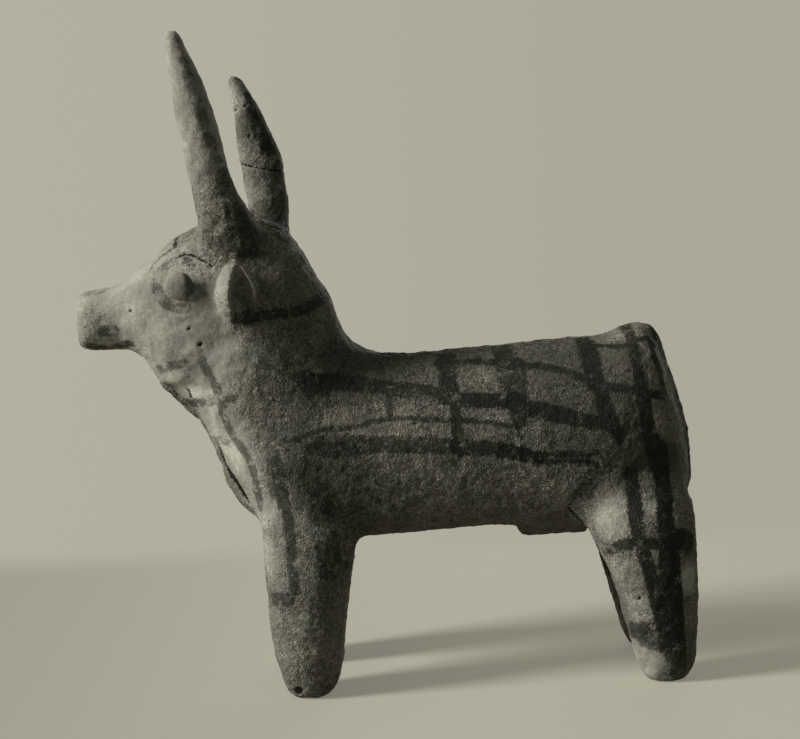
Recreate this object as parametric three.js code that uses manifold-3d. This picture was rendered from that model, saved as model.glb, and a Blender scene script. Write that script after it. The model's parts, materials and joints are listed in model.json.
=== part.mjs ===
// A hand-built terracotta bull, in millimetres, +Z up, head towards -X.
// The body is a thrown, hollow clay barrel with one closed end. Neck, head, horns, legs and
// trimmings are rolled, pinched and pegged on, and luted there before firing, so nothing moves.
import * as THREE from "three";
import { mergeVertices } from "three/addons/utils/BufferGeometryUtils.js";
import Module from "manifold-3d";

// Barrel
const bellyHeight = 67.5;
const barrelHeight = 81;
const barrelWidth = 74;
const barrelLength = 190;
const barrelWall = 8;
const chestDome = 38;
const chestLift = 1;
const backDip = 2;
const rumpRise = 8.5;
const ventDiameter = 3.4;

// Cap over the open end of the barrel
const capDepth = 18.5;
const capSpigot = 5;

// Neck, a thick cone coped over the barrel, bored up its middle with a finger
const neckWidth = 64;
const napeRise = 31;
const neckTopLength = 75;
const throatReach = 24;
const throatDrop = 10;
const neckBore = 22;
const boreFootSetback = 28;
const boreFootDepth = 22;
const boreHeadRise = 14;

// Head, measured from the middle of the collar joint
const headReach = 73.5;
const headBack = 36.5;
const headWidth = 60;
const crownHeight = 54;
const jawDepth = 38;
const muzzleLength = 22;
const muzzleDiameter = 28;
const muzzleLift = 11;

// Horns
const hornSpread = 37;
const leftHornThickness = 16;
const leftHornLength = 83;
const leftHornLean = -20;
const leftHornFlare = 7;
const rightHornThickness = 19;
const rightHornLength = 61;
const rightHornLean = -13.5;
const rightHornFlare = 4;
const leftHornSetback = -2.5;
const rightHornSetback = 13.4;
const hornBreakHeight = 19.5;
const hornBreakTilt = 0.22;
const hornPegDiameter = 9;
const hornPegTop = 6;
const hornPegLength = 30;
const hornPegInset = 7;

// Ears and eyes
const earLength = 29;
const earWidth = 18.5;
const earDepth = 13;
const earPinch = 0.62;
const earHollowWidth = 11;
const earHollowLength = 27;
const earHollowSetback = 2.8;
const earSetback = -0.5;
const earDrop = 29;
const eyeDiameter = 12.5;
const eyeSetback = 48;
const eyeDrop = 26;
const eyeProud = 4;
const eyeSeat = 1.2;

// Legs
const stance = 52;
const soleLength = 17;
const soleWidth = 17;
const legWidth = 30;
const frontLegSet = 35.3;
const frontLegLength = 33;
const frontLegSpread = 2;
const frontToe = 0.93;
const hindLegSet = 5;
const hindLegLength = 31;
const hindLegRake = 5;
const hindLegTuck = 0.5;
const hindHeel = 1.04;
const rightHindShift = -1.6;
const legPegDiameter = 12;

// Applied strips of clay
const tailWidth = 12;
const tailThickness = 2.8;
const tailDrop = 1.5;
const tailReach = 0.96; // as a share of the barrel's height
const dewlapWidth = 9;
const dewlapProud = 1.4;
const throatFlapTop = 4.5;
const throatFlapLength = 20;
const throatFlapDepth = 4.5;
const chestStripTop = 40;
const chestStripLength = 30;
const chestStripDepth = 1.8;
const sheathLength = 32;
const sheathWidth = 10;
const sheathDepth = 7;

// Fits
const clearance = 0.3;
const pegClearance = 0.3;

// Facets
const bodySides = 28;
const limbSides = 18;
const hornSides = 12;
const boreSides = 22;
const pegSides = 10;
const pelletSides = 16;
const pelletRings = 10;

// Places that follow from the sizes
const backHeight = bellyHeight + barrelHeight;
const axisHeight = bellyHeight + barrelHeight / 2;
const chestFront = -82;
const rimAt = chestFront + barrelLength;
const throat = { x: chestFront - throatReach, z: backHeight - throatDrop };
const nape = { x: throat.x + neckTopLength, z: backHeight + napeRise };
const collar = {
  x: (throat.x + nape.x) / 2,
  z: (throat.z + nape.z) / 2,
  tilt: Math.atan2(nape.z - throat.z, nape.x - throat.x),
};

const clayColours = { pale: 0x9c9a86, shade: 0x7d7b68, dark: 0x5c5a49 };
const clay = (colour, roughness) =>
  new THREE.MeshStandardMaterial({ color: clayColours[colour], roughness, metalness: 0 });

const wasm = await Module();
wasm.setup();
const cuts = {
  solid(geometry) {
    const plain = geometry.clone();
    plain.deleteAttribute("normal");
    plain.deleteAttribute("uv");
    const merged = mergeVertices(plain, 1e-4);
    return new wasm.Manifold(
      new wasm.Mesh({
        numProp: 3,
        vertProperties: merged.attributes.position.array,
        triVerts: new Uint32Array(merged.index.array),
      }),
    );
  },
  geometry(solid) {
    const mesh = solid.getMesh();
    const geometry = new THREE.BufferGeometry();
    geometry.setAttribute("position", new THREE.BufferAttribute(mesh.vertProperties, 3));
    geometry.setIndex(new THREE.BufferAttribute(mesh.triVerts, 1));
    const faceted = geometry.toNonIndexed();
    faceted.computeVertexNormals();
    return faceted;
  },
};

// Stations are rows of numbers. This draws a smooth curve through them, row by row.
function smooth(rows, steps) {
  const out = [];
  for (let i = 0; i < rows.length - 1; i += 1) {
    const [a, b, c, d] = [-1, 0, 1, 2].map(
      (k) => rows[Math.min(Math.max(i + k, 0), rows.length - 1)],
    );
    for (let s = 0; s < steps; s += 1) {
      const t = s / steps;
      out.push(
        b.map((value, k) => {
          const slopeIn = (c[k] - a[k]) / 2;
          const slopeOut = (d[k] - value) / 2;
          const rise = c[k] - value;
          const square = 3 * rise - 2 * slopeIn - slopeOut;
          const cube = slopeIn + slopeOut - 2 * rise;
          return value + t * (slopeIn + t * (square + t * cube));
        }),
      );
    }
  }
  out.push(rows[rows.length - 1]);
  return out;
}

// A closed skin over rings of points. The rings run so that the skin faces outwards.
function skin(rings) {
  const sides = rings[0].length;
  const points = rings.flat();
  const index = [];
  rings.slice(1).forEach((ring, r) => {
    for (let s = 0; s < sides; s += 1) {
      const next = (s + 1) % sides;
      const [a, b] = [r * sides + s, r * sides + next];
      index.push(a, b, a + sides, b, b + sides, a + sides);
    }
  });
  [0, rings.length - 1].forEach((r) => {
    const middle = new THREE.Vector3();
    rings[r].forEach((p) => middle.addScaledVector(p, 1 / sides));
    points.push(middle);
    for (let s = 0; s < sides; s += 1) {
      const rim = [r * sides + s, r * sides + ((s + 1) % sides)];
      index.push(points.length - 1, ...(r ? rim : rim.reverse()));
    }
  });
  const geometry = new THREE.BufferGeometry().setFromPoints(points);
  geometry.setIndex(index);
  return geometry;
}

// One rounded section: a superellipse, from a round 2 to a boxy 4.
function ring(sides, squareness, place) {
  return Array.from({ length: sides }, (_, s) => {
    const angle = (2 * Math.PI * s) / sides;
    const bend = (v) => Math.sign(v) * Math.abs(v) ** (2 / squareness);
    return place(bend(Math.cos(angle)), bend(Math.sin(angle)));
  });
}

// Rows of [x, low, high, half width, shift in y]: upright sections along X.
function alongX(rows, { grow = 0, sides = bodySides, squareness = 2.2, steps = 2 } = {}) {
  return skin(
    smooth(rows, steps).map(([x, low, high, half, shift = 0], i, all) => {
      const end = i === 0 ? -grow : i === all.length - 1 ? grow : 0;
      return ring(sides, squareness, (u, v) =>
        new THREE.Vector3(
          x + end,
          shift + u * (half + grow),
          (low + high) / 2 + v * ((high - low) / 2 + grow),
        ),
      );
    }),
  );
}

// Rows of [z, front, back, half width, y of the middle]: level sections up a limb.
function alongZ(rows, { grow = 0, sides = limbSides, squareness = 2.2, steps = 2 } = {}) {
  return skin(
    smooth(rows, steps).map(([z, front, back, half, y = 0], i, all) => {
      const end = i === 0 ? -grow : i === all.length - 1 ? grow : 0;
      return ring(sides, squareness, (u, v) =>
        new THREE.Vector3(
          (front + back) / 2 + u * ((back - front) / 2 + grow),
          y + v * (half + grow),
          z + end,
        ),
      );
    }),
  );
}

// A round rod from one point to another, for pegs, sockets and bores.
function rod(from, to, diameter, grow = 0) {
  const length = from.distanceTo(to) + grow;
  const geometry = new THREE.CylinderGeometry(
    diameter / 2 + grow,
    diameter / 2 + grow,
    length,
    pegSides,
  );
  const direction = to.clone().sub(from).normalize();
  geometry.applyQuaternion(
    new THREE.Quaternion().setFromUnitVectors(new THREE.Vector3(0, 1, 0), direction),
  );
  const middle = from.clone().addScaledVector(direction, length / 2);
  return geometry.translate(middle.x, middle.y, middle.z);
}

// An egg-shaped pellet.
function pellet(at, halfX, halfY, halfZ) {
  const geometry = new THREE.SphereGeometry(1, pelletSides, pelletRings);
  geometry.scale(halfX, halfY, halfZ);
  return geometry.translate(at.x, at.y, at.z);
}

// Everything on one side of the sloping collar joint, moved off it by a gap.
function collarSide(above, gap) {
  const reach = 400;
  const block = new THREE.BoxGeometry(reach, reach, reach);
  block.translate(0, 0, above ? reach / 2 + gap : -reach / 2 - gap);
  block.rotateY(-collar.tilt);
  return block.translate(collar.x, 0, collar.z);
}

// Where a straight line first meets one of the skins. It runs a hair off the middle plane,
// because a line that lies exactly in the edges there slips between the faces.
const offEdge = new THREE.Vector3(0.013, 0.011, 0.017);
function meet(skins, from, towards) {
  const bothSides = new THREE.MeshBasicMaterial({ side: THREE.DoubleSide });
  const carriers = skins.map((geometry) => new THREE.Mesh(geometry, bothSides));
  const start = from.clone().add(offEdge);
  const caster = new THREE.Raycaster(start, towards.clone().sub(from).normalize());
  return caster.intersectObjects(carriers)[0].point.sub(offEdge);
}

// Barrel: back and belly lines with the closed, domed chest at the front
function barrelRows() {
  const half = barrelWidth / 2;
  const dome = [0.03, 0.12, 0.3, 0.55, 0.8, 1].map((share) => {
    const size = Math.sqrt(1 - (1 - share) ** 2);
    const middle = axisHeight + chestLift * (1 - share) ** 1.5;
    const height = (barrelHeight / 2) * size;
    return [chestFront + chestDome * share, middle - height, middle + height, half * size];
  });
  const waist = (chestFront + chestDome + rimAt) / 2;
  return [
    ...dome,
    [waist - 45, bellyHeight - 1, backHeight, half],
    [waist, bellyHeight + 1, backHeight - backDip, half - 0.5],
    [waist + 36, bellyHeight, backHeight + 1, half - 0.5],
    [rimAt - 20, bellyHeight, backHeight + 2, half],
    [rimAt - 9, bellyHeight + 1, backHeight + rumpRise * 0.75, half - 1],
    [rimAt, bellyHeight + 2, backHeight + rumpRise, half - 3],
  ];
}

// The bore keeps the wall everywhere and runs out through the open end.
function boreRows() {
  const inner = barrelRows().map(([x, low, high, half]) => [
    x + (x < chestFront + chestDome ? barrelWall : 0),
    low + barrelWall,
    high - barrelWall,
    half - barrelWall,
  ]);
  const open = inner.filter((row) => row[2] - row[1] > 4);
  const [, low, high, half] = open[open.length - 1];
  return [...open, [rimAt + barrelWall, low, high, half]];
}

function capRows() {
  const half = barrelWidth / 2 - 3;
  const [low, high] = [bellyHeight + 2, backHeight + rumpRise];
  const start = rimAt + clearance;
  return [
    [start, low, high, half],
    [start + capDepth * 0.28, low, high - 5, half - 1],
    [start + capDepth * 0.51, low + 1, high - 20, half - 4],
    [start + capDepth * 0.7, low + 3, high - 31.5, half - 9],
    [start + capDepth * 0.88, low + 7, high - 44, half - 16],
    [start + capDepth, low + 14, high - 57, half - 23],
  ];
}

// Neck: the front line leans forward to the throat, the back line rises to the nape
function neckRows() {
  const half = neckWidth / 2;
  return [
    [bellyHeight + 15, chestFront + 12, chestFront + 62, half - 11],
    [bellyHeight + 24, chestFront + 7, chestFront + 72, half - 6],
    [bellyHeight + 40, chestFront - 2, chestFront + 82, half - 2],
    [bellyHeight + 58, chestFront - 10, chestFront + 82, half],
    [throat.z, throat.x + 4, chestFront + 78, half],
    [backHeight, throat.x - 1, chestFront + 69, half],
    [backHeight + 4, throat.x - 2, chestFront + 62, half],
    [backHeight + 12, throat.x - 2, nape.x + 6, half - 1],
    [nape.z - 4, throat.x, nape.x + 1, half - 2],
    [nape.z + 12, throat.x + 4, nape.x - 7, half - 3],
  ];
}

// Head: a blunt muzzle that widens into the skull and falls to the nape
function headRows() {
  const nose = collar.x - headReach;
  const muzzle = muzzleDiameter / 2;
  const half = headWidth / 2;
  const lift = collar.z + muzzleLift;
  const crown = collar.z + crownHeight;
  const jaw = collar.z - jawDepth;
  return [
    [nose, lift - muzzle * 0.68, lift + muzzle * 0.56, muzzle * 0.62],
    [nose + 1.5, lift - muzzle * 0.88, lift + muzzle * 0.8, muzzle * 0.84],
    [nose + 6, lift - muzzle * 0.96, lift + muzzle * 0.9, muzzle * 0.95],
    [nose + muzzleLength * 0.68, lift - muzzle * 0.98, lift + muzzle, muzzle],
    [nose + muzzleLength, lift - muzzle * 0.98, lift + muzzle * 1.16, muzzle * 1.15],
    [nose + 29, lift - muzzle * 1.3, crown - 20, half * 0.68],
    [nose + 36, lift - muzzle * 2.16, crown - 15.5, half * 0.8],
    [nose + 46, jaw + 4, crown - 8, half * 0.91],
    [nose + 58, jaw, crown - 3, half * 0.97],
    [collar.x, jaw + 4, crown, half],
    [collar.x + 15, jaw + 14, crown - 3, half * 0.97],
    [collar.x + headBack - 13, jaw + 26, crown - 11, half * 0.87],
    [collar.x + headBack - 6, jaw + 36, crown - 23, half * 0.67],
    [collar.x + headBack, jaw + 46, crown - 36, half * 0.34],
  ];
}

// Horns: level sections that lean and taper, each row a share of the length, the half sizes as
// shares of the thickness, and how far the lean has come. Each horn was rolled by itself.
function hornRows({ side, length, thickness, lean, flare, setback, profile }) {
  const foot = collar.z + crownHeight;
  return profile.map(([share, long, wide, bend]) => {
    const x = collar.x + setback + lean * bend;
    const y = side * (hornSpread / 2 + flare * bend);
    const half = thickness / 2;
    return [foot + length * share, x - half * long, x + half * long, half * wide, y];
  });
}
const leftHorn = {
  side: -1,
  length: leftHornLength,
  thickness: leftHornThickness,
  lean: leftHornLean,
  flare: leftHornFlare,
  setback: leftHornSetback,
  profile: [
    [-0.22, 2.4, 1.1, -0.1],
    [-0.1, 2, 1.3, -0.02],
    [0, 1.56, 1.35, 0.07],
    [0.13, 1.26, 1.25, 0.24],
    [0.25, 1.12, 1.1, 0.38],
    [0.42, 1.08, 1.04, 0.49],
    [0.58, 1, 0.98, 0.6],
    [0.74, 0.82, 0.82, 0.72],
    [0.88, 0.62, 0.62, 0.87],
    [0.97, 0.4, 0.4, 0.97],
    [1, 0.3, 0.3, 1],
  ],
};
const rightHorn = {
  side: 1,
  length: rightHornLength,
  thickness: rightHornThickness,
  lean: rightHornLean,
  flare: rightHornFlare,
  setback: rightHornSetback,
  profile: [
    [-0.28, 0.95, 0.8, 0.14],
    [-0.12, 0.94, 0.95, 0.09],
    [0.02, 0.93, 0.98, 0.05],
    [0.18, 0.98, 0.98, 0.12],
    [0.38, 1, 0.96, 0.22],
    [0.57, 0.82, 0.86, 0.42],
    [0.71, 0.64, 0.72, 0.57],
    [0.83, 0.52, 0.6, 0.72],
    [0.93, 0.38, 0.42, 0.9],
    [1, 0.15, 0.2, 1],
  ],
};

// Legs: a flat sole, a rounded foot, a column and a root that spreads over the flank.
// A front leg is plumb in front and spreads backwards, a hind leg the other way round.
function legRows({ side, middle, length, front, back, toe = 1, heel = 1 }) {
  const foot = (side * stance) / 2;
  const half = length / 2;
  const wide = legWidth / 2;
  const belly = bellyHeight;
  const row = (z, forward, behind, width, inset) => [
    z,
    middle - half * forward - front * inset[0],
    middle + half * behind + back * inset[0],
    wide * width,
    foot - side * inset[1],
  ];
  return [
    [0, middle - soleLength / 2, middle + soleLength / 2, soleWidth / 2, foot],
    row(2.5, 0.65 * toe, 0.64 * heel, 0.68, [0, 0]),
    row(8, 0.78 * toe, 0.82 * heel, 0.82, [0.1, 0]),
    row(21, 0.92, 0.94, 0.94, [0.35, 0]),
    row(belly * 0.52, 1, 1, 1, [0.8, 0]),
    row(belly * 0.72, 1.02, 1.03, 1.06, [1.5, 0]),
    row(belly * 0.88, 1.04, 1.06, 1.12, [2.3, 0.5]),
    row(belly + 3, 1.08, 1.04, 1.16, [3.2, 1.5]),
    row(belly + 13, 1.06, 0.98, 1.06, [3.2, 4]),
    row(belly + 25, 0.98, 0.7, 0.9, [2.4, 7]),
    row(belly + 36, 0.7, 0.3, 0.62, [1.6, 9]),
  ];
}
const frontLeg = (side) => ({
  side,
  middle: chestFront + frontLegSet,
  length: frontLegLength,
  front: 0,
  back: frontLegSpread,
  toe: frontToe,
});
const hindLeg = (side) => ({
  side,
  middle: rimAt + hindLegSet + (side > 0 ? rightHindShift : 0),
  length: hindLegLength,
  front: hindLegRake,
  back: -hindLegTuck,
  heel: hindHeel,
});

// A peg from the leg's core through the barrel's wall, pointing at the barrel's axis
function legPeg(leg) {
  const x = leg.middle - 3.5 * leg.front;
  const start = new THREE.Vector3(x, (leg.side * stance) / 2, bellyHeight - 8);
  const axis = new THREE.Vector3(x, 0, axisHeight);
  const inside = meet([boreSkin], axis, start);
  return [start, inside];
}

// A peg from the horn's foot into the skull, a little inwards as it goes down
function hornPeg({ side, setback }) {
  const top = new THREE.Vector3(
    collar.x + setback,
    (side * hornSpread) / 2,
    collar.z + crownHeight + hornPegTop,
  );
  const down = new THREE.Vector3(0, -side * hornPegInset, -hornPegLength);
  return [top, top.clone().add(down)];
}

// A strip of clay pressed along a line on the body, thickest in its middle. Its depth is how far
// it reaches into the body, before the body is cut out of it.
function strip(points, { width, thickness, across, depth = thickness, ends = 0.45, sides = 10 }) {
  const curve = new THREE.CatmullRomCurve3(points);
  const steps = 2 * (points.length - 1);
  const rings = Array.from({ length: steps + 1 }, (_, i) => {
    const share = i / steps;
    const at = curve.getPointAt(share);
    const out = new THREE.Vector3().crossVectors(curve.getTangentAt(share), across).normalize();
    const swell = ends + (1 - ends) * Math.sin(Math.PI * share) ** 0.4;
    return ring(sides, 2.6, (u, v) =>
      at
        .clone()
        .addScaledVector(across, u * (width / 2) * swell)
        .addScaledVector(out, v * (v < 0 ? depth : thickness * swell)),
    );
  });
  return skin(rings);
}

// The plain bodies, and the same ones grown by the joint's clearance, which cut what is set on them
const barrelSkin = alongX(barrelRows());
const boreSkin = alongX(boreRows(), { sides: boreSides });
const neckSkin = alongZ(neckRows(), { sides: bodySides });
const headSkin = alongX(headRows(), { squareness: 2.35 });
const capSkin = alongX(capRows());
const capSolid = cuts.solid(capSkin);
const grown = {
  barrel: cuts.solid(alongX(barrelRows(), { grow: clearance })),
  neck: cuts.solid(alongZ(neckRows(), { sides: bodySides, grow: clearance })),
  head: cuts.solid(alongX(headRows(), { squareness: 2.35, grow: clearance })),
  // The cap's top falls away steeply, so it is also moved backwards by the clearance.
  cap: cuts
    .solid(alongX(capRows(), { grow: clearance }))
    .add(capSolid)
    .add(capSolid.translate([clearance, 0, 0])),
};

const legs = {
  leg_front_left: frontLeg(-1),
  leg_front_right: frontLeg(1),
  leg_hind_left: hindLeg(-1),
  leg_hind_right: hindLeg(1),
};

// The finger bore leads from the barrel up the neck and ends blind in the head.
const boreFoot = new THREE.Vector3(collar.x + boreFootSetback, 0, backHeight - boreFootDepth);
const boreHead = new THREE.Vector3(collar.x, 0, collar.z + boreHeadRise);

function makeBarrel() {
  let barrel = cuts.solid(barrelSkin).subtract(cuts.solid(boreSkin));
  barrel = barrel.subtract(cuts.solid(rod(boreFoot, boreHead, neckBore)));
  Object.values(legs).forEach((leg) => {
    const [from, to] = legPeg(leg);
    const past = to.clone().add(to.clone().sub(from).setLength(3));
    barrel = barrel.subtract(cuts.solid(rod(from, past, legPegDiameter, pegClearance)));
  });
  const vent = new THREE.Vector3(0, 0, bellyHeight - 5);
  const ventTop = vent.clone().setZ(bellyHeight + barrelWall + 8);
  return barrel.subtract(cuts.solid(rod(vent, ventTop, ventDiameter)));
}

function makeNeck() {
  return cuts
    .solid(neckSkin)
    .intersect(cuts.solid(collarSide(false, clearance / 2)))
    .subtract(grown.barrel)
    .subtract(cuts.solid(rod(boreFoot, boreHead, neckBore)));
}

function makeHead() {
  let head = cuts
    .solid(headSkin)
    .intersect(cuts.solid(collarSide(true, clearance / 2)))
    .subtract(cuts.solid(rod(boreFoot, boreHead, neckBore)));
  [leftHorn, rightHorn].forEach((horn) => {
    const [from, to] = hornPeg(horn);
    head = head.subtract(cuts.solid(rod(from, to, hornPegDiameter, pegClearance)));
  });
  Object.values(eyes).forEach((eye) => {
    head = head.subtract(cuts.solid(eyeShape(eye, pegClearance)));
  });
  return head;
}

// Eyes: rolled pellets pressed into shallow seats
function eyePlace(side) {
  const x = collar.x - headReach + eyeSetback;
  const z = collar.z + crownHeight - eyeDrop;
  const outside = new THREE.Vector3(x, side * headWidth, z);
  return meet([headSkin], outside, outside.clone().setY(0));
}
const eyes = { eye_left: eyePlace(-1), eye_right: eyePlace(1) };
function eyeShape(eye, grow = 0) {
  const side = Math.sign(eye.y);
  const at = eye.clone().setY(eye.y + (side * (eyeProud - eyeSeat)) / 2);
  const depth = (eyeProud + eyeSeat) / 2;
  const half = eyeDiameter / 2;
  return pellet(at, half + grow, depth + grow, half + grow);
}

// Ears: a pinched leaf, hollowed from outside and behind so that a thin rim is left
function makeEar(side) {
  const x = collar.x + earSetback;
  const z = collar.z + crownHeight - earDrop;
  const outside = new THREE.Vector3(x, side * headWidth, z);
  const root = meet([headSkin], outside, outside.clone().setY(0));
  const at = root.clone().setY(root.y + side * earDepth * 0.3);
  const half = { x: earWidth / 2, y: earDepth * 0.7, z: earLength / 2 };
  // The upper end of the leaf is pinched to a point, and the hollow with it.
  const pinched = (middle, halfX, halfY, halfZ) => {
    const leaf = pellet(middle, halfX, halfY, halfZ);
    const place = leaf.attributes.position;
    for (let i = 0; i < place.count; i += 1) {
      const up = Math.max((place.getZ(i) - middle.z) / halfZ, 0);
      const narrow = 1 - earPinch * up ** 2;
      place.setX(i, at.x + (place.getX(i) - at.x) * narrow);
      place.setY(i, at.y + (place.getY(i) - at.y) * narrow);
    }
    return cuts.solid(leaf);
  };
  const hollowAt = at.clone().add(new THREE.Vector3(earHollowSetback, side * half.y * 0.75, -1));
  const hollow = pinched(hollowAt, earHollowWidth / 2, half.y * 1.05, earHollowLength / 2);
  return pinched(at, half.x, half.y, half.z).subtract(hollow).subtract(grown.head);
}

function makeHorn(horn) {
  const [from, to] = hornPeg(horn);
  const body = cuts.solid(alongZ(hornRows(horn), { sides: hornSides })).subtract(grown.head);
  return body.add(cuts.solid(rod(from, to, hornPegDiameter)));
}

// The right horn was broken across and set back on: two lengths that meet at the break.
function hornBreak(above) {
  const reach = 200;
  const block = new THREE.BoxGeometry(reach, reach, reach);
  block.translate(0, 0, above ? (reach + clearance) / 2 : -(reach + clearance) / 2);
  block.rotateY(hornBreakTilt);
  const z = collar.z + crownHeight + hornBreakHeight;
  return cuts.solid(block.translate(collar.x + rightHornSetback, 0, z));
}

function makeLeg(leg) {
  let body = cuts.solid(alongZ(legRows(leg))).subtract(grown.barrel);
  body = body.subtract(grown.neck).subtract(grown.cap);
  return body.add(cuts.solid(rod(...legPeg(leg), legPegDiameter)));
}

// The cap's spigot is the mouth of the bore, less the peg clearance.
function makeCap() {
  const mouth = cuts.solid(alongX(boreRows(), { sides: boreSides, grow: -pegClearance }));
  const slab = new THREE.BoxGeometry(capSpigot + 2 * clearance, barrelWidth, barrelHeight * 2);
  slab.translate(rimAt - capSpigot / 2 + clearance, 0, axisHeight);
  return capSolid.add(mouth.intersect(cuts.solid(slab)));
}

const acrossY = new THREE.Vector3(0, -1, 0);

// Tail: a strip down the middle of the rump, rooted on top of the cap
function makeTail() {
  const length = tailReach * barrelHeight;
  const points = [0, 0.06, 0.14, 0.24, 0.36, 0.5, 0.64, 0.78, 0.9, 1].map((share) => {
    const z = backHeight + rumpRise - tailDrop - length * share;
    const behind = new THREE.Vector3(rimAt + 2 * capDepth, 0, z);
    return meet([capSkin], behind, behind.clone().setX(rimAt));
  });
  return cuts
    .solid(strip(points, { width: tailWidth, thickness: tailThickness, across: acrossY }))
    .subtract(grown.cap)
    .subtract(grown.barrel);
}

// Dewlap: a flap drawn taut over the angle under the jaw, and a strip pressed down the chest. Both
// lie on the neck and the head as the collar joint leaves them.
function makeDewlap({ top, length, depth, taut }) {
  const carriers = [
    grown.barrel,
    grown.neck.intersect(cuts.solid(collarSide(false, -clearance / 2))),
    grown.head.intersect(cuts.solid(collarSide(true, -clearance / 2))),
  ];
  const skins = carriers.map((carrier) => cuts.geometry(carrier));
  const onBody = (share) => {
    const before = new THREE.Vector3(collar.x - headReach, 0, top - length * share);
    return meet(skins, before, before.clone().setX(collar.x));
  };
  const points = [0, 0.2, 0.4, 0.6, 0.8, 1].map((share) => {
    const pressed = onBody(share);
    const spanned = onBody(0).lerp(onBody(1), share);
    return taut && spanned.x < pressed.x ? spanned : pressed;
  });
  const shape = { width: dewlapWidth, thickness: dewlapProud, depth, across: acrossY };
  const flap = cuts.solid(strip(points, shape));
  return carriers.reduce((rest, carrier) => rest.subtract(carrier), flap);
}
const throatFlap = {
  top: throat.z + throatFlapTop,
  length: throatFlapLength,
  depth: throatFlapDepth,
  taut: true,
};
const chestStrip = {
  top: bellyHeight + chestStripTop,
  length: chestStripLength,
  depth: chestStripDepth,
  taut: false,
};

// Sheath: a short ridge along the belly, broken off square at its front
function makeSheath() {
  const back = rimAt - 25;
  const points = [0, 0.5, 1].map(
    (share) => new THREE.Vector3(back - sheathLength * share, 0, bellyHeight + 1),
  );
  const ridge = strip(points, {
    width: sheathWidth,
    thickness: sheathDepth,
    across: acrossY,
    ends: 0.8,
  });
  return cuts.solid(ridge).subtract(grown.barrel);
}

const figure = new THREE.Group();
function place(name, solid, colour, roughness = 0.9) {
  const mesh = new THREE.Mesh(cuts.geometry(solid), clay(colour, roughness));
  mesh.name = name;
  figure.add(mesh);
}

place("body_barrel", makeBarrel(), "shade");
place("rump_cap", makeCap(), "shade");
place("neck", makeNeck(), "shade");
place("head", makeHead(), "pale");
place("horn_left", makeHorn(leftHorn), "pale");
const wholeHorn = makeHorn(rightHorn);
place("horn_right_root", wholeHorn.intersect(hornBreak(false)), "shade");
place("horn_right_tip", wholeHorn.intersect(hornBreak(true)), "shade");
place("ear_left", makeEar(-1), "shade");
place("ear_right", makeEar(1), "shade");
Object.entries(eyes).forEach(([name, eye]) => {
  place(name, cuts.solid(eyeShape(eye)), "dark");
});
Object.entries(legs).forEach(([name, leg]) => place(name, makeLeg(leg), "shade"));
place("tail", makeTail(), "dark");
place("dewlap_upper", makeDewlap(throatFlap), "pale");
place("dewlap_lower", makeDewlap(chestStrip), "shade");
place("sheath", makeSheath(), "shade");

// The origin is the middle of the footprint, on the ground.
const box = new THREE.Box3().setFromObject(figure);
const middle = box.getCenter(new THREE.Vector3());
figure.position.set(-middle.x, -middle.y, -box.min.z);
export default figure;
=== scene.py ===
# %% [markdown]
# # A hand-built terracotta bull
# The real figurine is a hollow, thrown clay barrel. Neck, head, horns, ears, legs and strips of
# clay were pegged and smeared on by hand, the whole was covered with a buff slip, and dark lines
# were brushed over it. It was fired, buried, and lost much of its skin.
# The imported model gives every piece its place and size. This lesson makes its surface.
# %% Load the fixed frame
import json
import math
from functools import reduce

import bmesh
import bpy
import numpy as np
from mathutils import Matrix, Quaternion, Vector
from mathutils.bvhtree import BVHTree


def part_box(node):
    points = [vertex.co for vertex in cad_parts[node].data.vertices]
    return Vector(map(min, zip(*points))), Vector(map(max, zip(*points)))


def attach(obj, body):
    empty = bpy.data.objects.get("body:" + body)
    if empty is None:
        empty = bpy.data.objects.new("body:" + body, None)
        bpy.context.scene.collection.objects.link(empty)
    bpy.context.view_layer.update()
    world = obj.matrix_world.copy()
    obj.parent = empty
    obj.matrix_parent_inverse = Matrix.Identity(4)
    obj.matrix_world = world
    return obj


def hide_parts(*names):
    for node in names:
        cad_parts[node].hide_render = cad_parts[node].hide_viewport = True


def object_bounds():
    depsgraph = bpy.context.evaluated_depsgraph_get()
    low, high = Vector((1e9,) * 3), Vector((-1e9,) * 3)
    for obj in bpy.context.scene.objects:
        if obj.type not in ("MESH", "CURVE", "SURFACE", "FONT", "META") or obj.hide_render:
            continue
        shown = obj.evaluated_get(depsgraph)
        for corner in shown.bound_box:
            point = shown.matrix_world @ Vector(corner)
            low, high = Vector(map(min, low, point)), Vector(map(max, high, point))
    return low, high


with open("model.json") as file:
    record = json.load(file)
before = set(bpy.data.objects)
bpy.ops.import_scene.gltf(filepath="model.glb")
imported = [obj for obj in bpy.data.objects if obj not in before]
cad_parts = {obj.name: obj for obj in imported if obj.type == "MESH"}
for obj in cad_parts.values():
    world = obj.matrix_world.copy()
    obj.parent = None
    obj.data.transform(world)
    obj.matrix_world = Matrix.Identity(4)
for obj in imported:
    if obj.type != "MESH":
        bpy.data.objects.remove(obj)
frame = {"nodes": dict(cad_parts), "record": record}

cad_low, cad_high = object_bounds()
nodes = frame["nodes"]
mm = 0.001
print("nodes:", len(nodes), "box in mm:", [round(v / mm, 1) for v in (*cad_low, *cad_high)])

# %% [markdown]
# ## The camera
# The photograph was taken with a long lens from the bull's left, a little above it, and the
# picture is turned by a few degrees. A long lens far away keeps the barrel from bulging, so the
# distance is set first and the lens follows from it.
# %% Camera
view_distance = 950 * mm
view_elevation = math.radians(10)
view_roll = math.radians(-2.7)
view_centre = Vector((6.26 * mm, 0, 140.8 * mm))
view_lens = 95
view_back = Vector((0, -math.cos(view_elevation), math.sin(view_elevation)))
camera_place = view_centre + view_back * view_distance


def add_object(name, data):
    made = bpy.data.objects.new(name, data)
    bpy.context.scene.collection.objects.link(made)
    return made


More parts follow.
